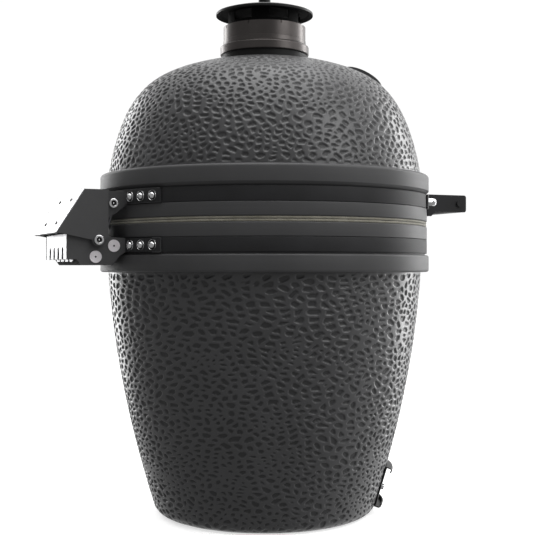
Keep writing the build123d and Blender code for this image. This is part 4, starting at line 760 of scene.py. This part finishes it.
# Lower ring, groove, lip and rim, then down the inside to the floor
inside_knots = [(foot_end[0] - 18.0, FLOOR + 12.0), (184.8, 110.0), (216.6, 257.5),
                (232.9, lower_ring_low), (RIM_INSIDE, lower_ring_top)]
base_inside = clamped_spline(inside_knots, (0.45, 1.0), (0.0, 1.0), 90)[::-1]
lip_low = base_top - LIP_HEIGHT
base_profile = rounded([
    (BASE_NECK - TUCK, lower_ring_low), (RING, lower_ring_low, 4), (RING, lower_ring_top, 4),
    (GROOVE, lower_ring_top, 1), (GROOVE, lip_low, 1), (LIP, lip_low, 1.2), (LIP, base_top, 2.0),
    (RIM_INSIDE, base_top, 3), (RIM_INSIDE, lower_ring_top)])
base_profile += [tuple(point) for point in base_inside[1:]]
base_profile += rounded([tuple(base_inside[-1]), (FLOOR_FLAT, FLOOR, 20), (NEAR_AXIS, FLOOR)],
                        5)[1:]
lathe("base_rim", base_profile, SATIN, "base", closed=False, count=420,
      drop=lambda centres: in_port(centres, 0.5))
lathe("base_underside", [(FOOT_FLAT, 0.0), (UNDERSIDE_STEP, 0.0), (NEAR_AXIS, 0.0)], SATIN,
      "base", closed=False, count=180)


def port_liner():
    """The four walls of the draft port, from the outside to the inside of the barrel."""
    corners = [(-PORT_HALF, PORT_LOW), (PORT_HALF, PORT_LOW), (PORT_HALF, PORT_HIGH),
               (-PORT_HALF, PORT_HIGH)]
    outline = ring_profile([(*corner, PORT_CORNER) for corner in corners], 3)
    rings = []
    for depth, margin in PORT_RINGS:
        ring = []
        for x, z in outline:
            grow_x = x * (1 + margin / PORT_HALF)
            grow_z = z + (margin if z > PORT_MIDDLE else -margin)
            outside = np.interp(grow_z, barrel_skin_curve[:, 1], barrel_skin_curve[:, 0])
            ring.append((grow_x, -math.sqrt(outside**2 - grow_x**2) + depth, grow_z))
        rings.append(ring)
    mesh = grid_mesh("draft_port_walls", np.array(rings), close_v=True)
    finish_mesh("draft_port_walls", mesh, SATIN, "base",
                angle=TURNED_SHARP_ANGLE)


port_liner()

# Upper lip, groove, ring and the inside of the dome
lip_top = dome_bottom + LIP_HEIGHT
dome_inside = dome_curve - outer_normals(dome_curve) * DOME_WALL
dome_inside = dome_inside[(dome_inside[:, 1] > upper_band_top)
                          & (dome_inside[:, 0] > CHIMNEY + CEILING_RING)]
dome_profile = rounded([(CHIMNEY, dome_top - CHIMNEY_DEEP),
                        (CHIMNEY, dome_bottom + CEILING_RISE, 3), tuple(dome_inside[-1])])
dome_profile += [tuple(point) for point in dome_inside[::-3]]
dome_profile += rounded([
    tuple(dome_inside[0]), (RIM_INSIDE, lip_top, 8), (RIM_INSIDE, dome_bottom, 3),
    (LIP, dome_bottom, 2.0), (LIP, lip_top, 1.2), (GROOVE, lip_top, 1),
    (GROOVE, upper_groove_top, 1.5), (RING, upper_ring_low, 1.5), (RING, dome_start, 5),
    (DOME_NECK - TUCK, dome_start)])[1:]
lathe("dome_rim", dome_profile, SATIN, "lid", closed=False, count=420)
chimney_profile = rounded([(CROWN, dome_top), (CHIMNEY, dome_top, 2),
                           (CHIMNEY, dome_top - CHIMNEY_DEEP)])
lathe("chimney_rim", chimney_profile, SATIN, "lid", closed=False, count=240)

# ---------- gaskets

GASKET_IN, GASKET_OUT, LUMPY_FROM = 242.0, 266.0, 260.0
GASKET_COLUMNS = 720
LUMP = 0.06             # share of the felt's thickness
LUMP_TURNS = (9, 31, 67, 113)


def gasket(name, low, high, body, node):
    """A felt ring whose outer edge is slightly lumpy."""
    middle = (low + high) / 2
    profile = ring_profile([(GASKET_IN, low, 1.2), (GASKET_OUT, low, 1.6),
                            (GASKET_OUT, high, 1.6), (GASKET_IN, high, 1.2)], 5)
    points = lathe_points(profile, GASKET_COLUMNS)
    draw = np.random.default_rng(len(name))
    angles = np.arange(GASKET_COLUMNS) * TAU / GASKET_COLUMNS
    waves = [np.sin(angles * turns + draw.uniform(0, TAU)) for turns in LUMP_TURNS]
    lumps = sum(waves) / len(LUMP_TURNS)
    outward = (points[..., 0]**2 + points[..., 1]**2) > LUMPY_FROM**2
    thinner = 1 - LUMP * (1 + lumps[:, None]) * outward
    points[..., 2] = middle + (points[..., 2] - middle) * thinner
    mesh = grid_mesh(name, points, close_u=True, close_v=True)
    finish_mesh(name, mesh, FELT, body, (node,), angle=60)


gasket("gasket_lower", *(corner.z for corner in node_box("base_gasket")), "base", "base_gasket")
gasket("gasket_upper", *(corner.z for corner in node_box("lid_gasket")), "lid", "lid_gasket")

# ---------- bands and straps

BAND_GAP = math.radians(20.0)
STRAP_HALF = math.radians(32.7)


def band(name, low, high, body, node):
    """A band round a groove, open under the hinge's straps."""
    profile = ring_profile([(BAND - BAND_WALL, low, 0.5), (BAND, low, 0.9), (BAND, high, 0.9),
                            (BAND - BAND_WALL, high, 0.5)], 3)
    lathe(name, profile, BLACK, body, count=400, start=REAR + BAND_GAP / 2,
          sweep=TAU - BAND_GAP, replaces=(node,))


def strap(name, low, high, body):
    """A curved strap over a band, with rounded edges."""
    profile = ring_profile([(STRAP_IN, low, 0.4), (STRAP_OUT, low, 0.8), (STRAP_OUT, high, 0.8),
                            (STRAP_IN, high, 0.4)], 3)
    lathe(name, profile, BLACK, body, count=120, start=REAR - STRAP_HALF,
          sweep=2 * STRAP_HALF)


band("band_lower", lower_band_low, lower_band_top, "base", "lower_band")
band("band_upper", upper_band_low, upper_band_top, "lid", "upper_band")
strap("strap_lower", lower_band_low, lower_band_top, "base")
strap("strap_upper", upper_band_low, upper_band_top, "lid")

# ---------- sheet metal with rounded edges

# The lid's hinge arms take the darker charcoal copy, as painted shade
for node_name, node_material, node_slot, node_body in (
        ("lid_hinge_bracket", SHADED_CHARCOAL, "charcoal_steel", "lid"),
        ("hinge_cover", CHARCOAL, "charcoal_steel", "lid"),
        ("badge_plate", BRIGHT, "bright_steel", "lid"),
        ("draft_frame", CAP, "black_steel", "base"),
        ("handle_arm_left", BLACK, "black_steel", "lid"),
        ("handle_arm_right", BLACK, "black_steel", "lid")):
    soften(node_name, node_material, node_body)


def darken_shaded_faces(piece, material, picks):
    """Gives the faces whose normal is picked a second, darker material: painted shade on faces in
    shade.
    """
    piece.data.materials.append(material)
    for face in piece.data.polygons:
        if picks(face.normal):
            face.material_index = 1


# Painted shade: the base bracket's faces that don't face sideways, such as its web, are near black
darken_shaded_faces(soften("base_hinge_bracket", CHARCOAL, "base"), SHADE_BLACK,
         lambda normal: abs(normal.x) < 0.5)
# Painted shade: the spring guard's downward faces get the black cap coat
darken_shaded_faces(soften("spring_guard", BRIGHT, "base"), CAP,
         lambda normal: normal.z < -0.5)
# Painted shade: the rain cap's downward faces are near black
darken_shaded_faces(soften("rain_cap", CAP, "vent_cap"), SHADE_BLACK, lambda normal: normal.z < -0.3)

# ---------- bolts and their heads


def along_x(centre):
    """A placement whose local Z is +X."""
    return axes_matrix(centre, (0, 1, 0), (1, 0, 0))


def mirrored(profile):
    """A profile of one end, given by its distance from the middle, made into both ends."""
    return [(radius, -height) for radius, height in profile] + profile[::-1]


def place_and_size(solid):
    """Middle, half length along X and radius of a bolt that lies along X."""
    low, high = solid.min(axis=0), solid.max(axis=0)
    return (low + high) / 2, high[0], (high[1] - low[1]) / 2


# The hinge and tie rod sockets get a near-black lining, as painted shade in the sockets
LINING = 0.1            # how far a dark lining stands off what it lines

# Hinge bolt and tie rod: rounded heads with a socket and a dot in its middle
SOCKET, SOCKET_DEEP, SOCKET_EDGE = 4.1, 2.6, 0.4
DOT, DOT_HEIGHTS = 1.5, (1.9, 1.5, 0.8)
HEAD_EDGE = 1.3
for node_name, head, body in (("hinge_pin", 5.0, "base"), ("tie_rod", 4.0, "lid")):
    chrome, shade_pieces = [], []
    for solid in islands(nodes[node_name].data):
        middle, reach, wide = place_and_size(solid)
        from_axis = np.hypot(solid[:, 1] - middle[1], solid[:, 2] - middle[2])
        shank = np.min(from_axis[abs(solid[:, 0]) < reach - head + 0.1])
        floor = reach - SOCKET_DEEP
        rim = [(wide - HEAD_EDGE + HEAD_EDGE * math.sin(turn * math.pi / 8),
                reach - HEAD_EDGE + HEAD_EDGE * math.cos(turn * math.pi / 8)) for turn in range(5)]
        dot = zip((0, DOT * 0.7, DOT), DOT_HEIGHTS)
        end = [*((radius, floor + height) for radius, height in dot), (DOT, floor),
               (SOCKET, floor), (SOCKET, reach - SOCKET_EDGE), (SOCKET + SOCKET_EDGE, reach),
               *rim, (wide, reach - head), (shank, reach - head)]
        chrome.append((mirrored(end), along_x(middle)))
        for side in (-1, 1):
            # Lining of the socket walls: painted shade
            low, high = side * (floor + LINING), side * (reach - 0.6)
            shade_pieces.append(([(DOT, low), (SOCKET - LINING, low), (SOCKET - LINING, high), (DOT, low)],
                         along_x(middle)))
    turned(node_name + "_turned", chrome, CHROME, body, (node_name,))
    turned(node_name + "_socket_shade", shade_pieces, CAP, body)

# Cross rods: wide, thin heads with turning lines, and a dark disc in the centre hole as painted
# shade
CROSS_SHANK, CROSS_HEAD, CROSS_EDGE = 5.0, 1.4, 0.4
CENTRE, CENTRE_DEEP = 1.5, 1.0
LINES, LINE_HALF, LINE_DEEP = (3.4, 5.2, 7.0), 0.5, 0.25
chrome, shade_pieces = [], []
for solid in islands(nodes["bracket_cross_rods"].data):
    middle, reach, wide = place_and_size(solid)
    end = [(0, reach - CENTRE_DEEP), (CENTRE, reach - CENTRE_DEEP), (CENTRE, reach - 0.1)]
    for line in LINES:
        end += [(line - LINE_HALF, reach), (line, reach - LINE_DEEP), (line + LINE_HALF, reach)]
    end += [(wide - CROSS_EDGE, reach), (wide, reach - CROSS_EDGE), (wide, reach - CROSS_HEAD),
            (CROSS_SHANK, reach - CROSS_HEAD)]
    chrome.append((mirrored(end), along_x(middle)))
    for side in (-1, 1):
        shade_pieces.append(([(0, side * (reach - 0.9)), (CENTRE - 0.05, side * (reach - 0.9)),
                      (CENTRE - 0.05, side * (reach - 0.95))], along_x(middle)))
turned("cross_rods_turned", chrome, HEAD, "base", ("bracket_cross_rods",))
turned("cross_rod_centre_shade", shade_pieces, CAP, "base")

# Strap bolts: a domed nut in a dished washer, whose dark floor is painted shade and dark
# reflection
SHANK, NUT, DISH, DISH_RIM = 3.0, 5.1, 7.1, 7.8
for node_name, body in (("base_strap_bolts", "base"), ("lid_strap_bolts", "lid")):
    chrome, shade_pieces = [], []
    for solid in islands(nodes[node_name].data):
        middle = (solid.min(axis=0) + solid.max(axis=0)) / 2
        out = np.array((middle[0], middle[1], 0.0))
        out /= np.linalg.norm(out)
        distances = solid @ out
        near, tall = distances.min(), distances.max() - distances.min()
        placement = axes_matrix(out * near + np.array((0, 0, middle[2])), (0, 0, 1), out)
        seat = STRAP_OUT - near + 0.1
        turns = [step * math.pi / 20 for step in range(10)]
        dome = [(NUT * math.cos(turn), tall - NUT + NUT * math.sin(turn)) for turn in turns]
        chrome.append(([(0, 0), (SHANK, 0), (SHANK, seat), (NUT, seat), *dome, (0, tall)],
                       placement))
        chrome.append(([(DISH, seat), (DISH, seat + 1.1), (DISH + 0.4, seat + 1.5),
                        (DISH_RIM, seat + 0.9), (DISH_RIM, seat), (DISH, seat)], placement))
        # The washer's dark floor: painted shade and dark reflection
        inner, outer, top = NUT + 0.05, DISH - 0.05, seat + 0.5
        shade_pieces.append(([(inner, seat), (inner, top), (outer, top), (outer, seat), (inner, seat)],
                     placement))
    turned(node_name + "_turned", chrome, CHROME, body, (node_name,), 32)
    turned(node_name + "_dish_shade", shade_pieces, CAP, body, (), 32)

# ---------- marks on the dial

dial = np.concatenate(islands(nodes["gauge_dial"].data))
dial_middle = dial.mean(axis=0)
_, axes = np.linalg.eigh(np.cov((dial - dial_middle).T))
dial_out = axes[:, 0] * math.copysign(1.0, axes[2, 0])
dial_up = np.array((0, 0, 1.0)) - dial_out * dial_out[2]
dial_up /= np.linalg.norm(dial_up)
dial_right = np.cross(dial_up, dial_out)
heights = (dial - dial_middle) @ dial_out
reach = (dial - dial_middle) @ dial_right
dial_radius = (reach.max() - reach.min()) / 2
face = dial_middle + dial_out * heights.max() + dial_right * (reach.max() + reach.min()) / 2
MARK_SWEEP, MARK_STEPS, LONG_EVERY = math.radians(270), 24, 4
LONG_MARK, SHORT_MARK = (0.8, 0.64), (0.4, 0.74)        # half width, and share of the radius
MARK_END = 0.86
MARK_LOW, MARK_HIGH = -0.05, 0.12
marks = []
for mark in range(MARK_STEPS + 1):
    turn = MARK_SWEEP * (mark / MARK_STEPS - 0.5)
    along = dial_up * math.cos(turn) + dial_right * math.sin(turn)
    wide, inner = SHORT_MARK if mark % LONG_EVERY else LONG_MARK
    near, far = dial_radius * inner, dial_radius * MARK_END
    outline = [(-wide, near), (wide, near), (wide, far), (-wide, far)]
    placement = axes_matrix(face, np.cross(along, dial_out), dial_out)
    marks.append((outline, MARK_LOW, MARK_HIGH, placement))
prisms("dial_marks", marks, PRINT, "lid")

# ---------- the rest wears materials

# The vent sleeve under the rain cap wears the near black of painted shade
for node_name, node_material in {
        "draft_frame_bolts": CHROME, "firebox": BARE, "fire_ring": BARE, "hinge_bushes": BRASS,
        "badge_screws": SCREW, "torsion_spring_left": SPRING, "torsion_spring_right": SPRING,
        "handle_grip": GRIP, "grip_screws": BLACK, "handle_bolts": CHROME, "vent_seal": SEAL,
        "vent_collar": COLLAR, "gauge_case": BLACK, "gauge_dial": DIAL, "gauge_lens": GLASS,
        "gauge_bezel": BLACK, "gauge_nut": CHROME, "vent_sleeve": SHADE_BLACK,
        "cap_knob": CAP, "gauge_needle": NEEDLE, "draft_door": BLACK, "draft_door_knob": CAP,
        "ember_screen": BRIGHT, "cooking_grid": WIRE, "charcoal_grate": IRON}.items():
    dress(node_name, node_material)

# ---------- floor, light and camera


WHITE = (1.0, 1.0, 1.0, 1.0)
FLOOR_REACH = 14.0      # metres, as are the sizes and places below


def stage_plane():
    """A pale, level floor that reaches far out of the picture."""
    mesh = bpy.data.meshes.new("studio_floor")
    corners = [(-1, -1), (1, -1), (1, 1), (-1, 1)]
    mesh.from_pydata([(x * FLOOR_REACH, y * FLOOR_REACH, 0) for x, y in corners], [],
                     [(0, 1, 2, 3)])
    floor = add_object("studio_floor", mesh)
    made, tree, shader = new_material("studio_white", (0.93, 0.93, 0.93), 0.9,
                                      Emission_Color=WHITE, Emission_Strength=0.62)
    wear(tree, shader, ramp(tree, noise(tree, 2.0, 4.0), [(0.0, 0.92), (1.0, 0.94)]))
    mesh.materials.append(made)
    floor.visible_diffuse = False
    floor.visible_glossy = False


def point(thing, place, direction):
    """Puts a camera or a light at a place, looking in a direction."""
    thing.location = place
    thing.rotation_mode = "QUATERNION"
    thing.rotation_quaternion = direction.to_track_quat("-Z", "Y")


def area_light(name, place, size, power, tall=None):
    """A soft panel that faces the middle of the object; tall is its height, if not square."""
    data = bpy.data.lights.new(name, "AREA")
    data.shape = "RECTANGLE"
    data.size = size
    data.size_y = tall or size
    data.energy = power
    point(add_object(name, data), place, Vector(MIDDLE) - Vector(place))


stage_plane()

# BACK points from the object towards the viewer, and RIGHT to the right of the view
VIEW = math.radians(-113.0)
BACK = Vector((math.sin(VIEW), -math.cos(VIEW), 0.0))
RIGHT = Vector((-BACK.y, BACK.x, 0.0))
EYE_DISTANCE, EYE_HEIGHT = 1.788, 0.402
MIDDLE = (0.0, 0.0, 0.42)
camera_data = bpy.data.cameras.new("camera")
camera_data.sensor_width = 36.0
camera_data.lens = 72.33
camera_data.shift_x = 0.0056
camera_data.clip_end = 100.0
camera = add_object("camera", camera_data)
point(camera, BACK * EYE_DISTANCE + Vector((0, 0, EYE_HEIGHT)), -BACK)
bpy.context.scene.camera = camera


def studio_place(right, back, up):
    """A place given to the right of the view, towards the viewer and up."""
    place = RIGHT * right + BACK * back
    return (place.x, place.y, up)


area_light("top", studio_place(0.1, 0.4, 3.0), size=2.6, power=53.0)
area_light("key", studio_place(1.9, 1.3, 1.9), size=1.2, power=15.0)
area_light("rim_left", studio_place(-1.7, -2.0, 0.8), size=0.7, power=26.0, tall=2.2)
area_light("rim_right", studio_place(2.2, -1.5, 0.8), size=0.6, power=32.0, tall=2.2)


def studio_world():
    """Soft light from all round, strongest behind the object's right, and a white backdrop."""
    world = bpy.data.worlds.new("studio")
    world.use_nodes = True
    tree = world.node_tree
    link = tree.links.new
    coordinates = tree.nodes.new("ShaderNodeTexCoord")
    aim = tree.nodes.new("ShaderNodeVectorMath")
    aim.operation = "DOT_PRODUCT"
    brightest = (RIGHT * 0.45 - BACK * 0.85 + Vector((0, 0, 0.35))).normalized()
    aim.inputs[1].default_value = tuple(brightest)
    link(coordinates.outputs["Generated"], aim.inputs[0])
    fall = add_node(tree, "ShaderNodeMapRange", From_Min=-0.45, From_Max=0.9, To_Min=0.29,
                    To_Max=1.15)
    fall.interpolation_type = "SMOOTHSTEP"
    link(aim.outputs["Value"], fall.inputs["Value"])
    lit = tree.nodes["Background"]
    lit.inputs["Color"].default_value = WHITE
    link(fall.outputs["Result"], lit.inputs["Strength"])
    seen = add_node(tree, "ShaderNodeBackground", Color=WHITE, Strength=1.02)
    ray = tree.nodes.new("ShaderNodeLightPath")
    either = tree.nodes.new("ShaderNodeMixShader")
    link(ray.outputs["Is Camera Ray"], either.inputs["Fac"])
    link(lit.outputs["Background"], either.inputs[1])
    link(seen.outputs["Background"], either.inputs[2])
    link(either.outputs["Shader"], tree.nodes["World Output"].inputs["Surface"])
    bpy.context.scene.world = world


studio_world()
bpy.context.scene.view_settings.view_transform = "Standard"
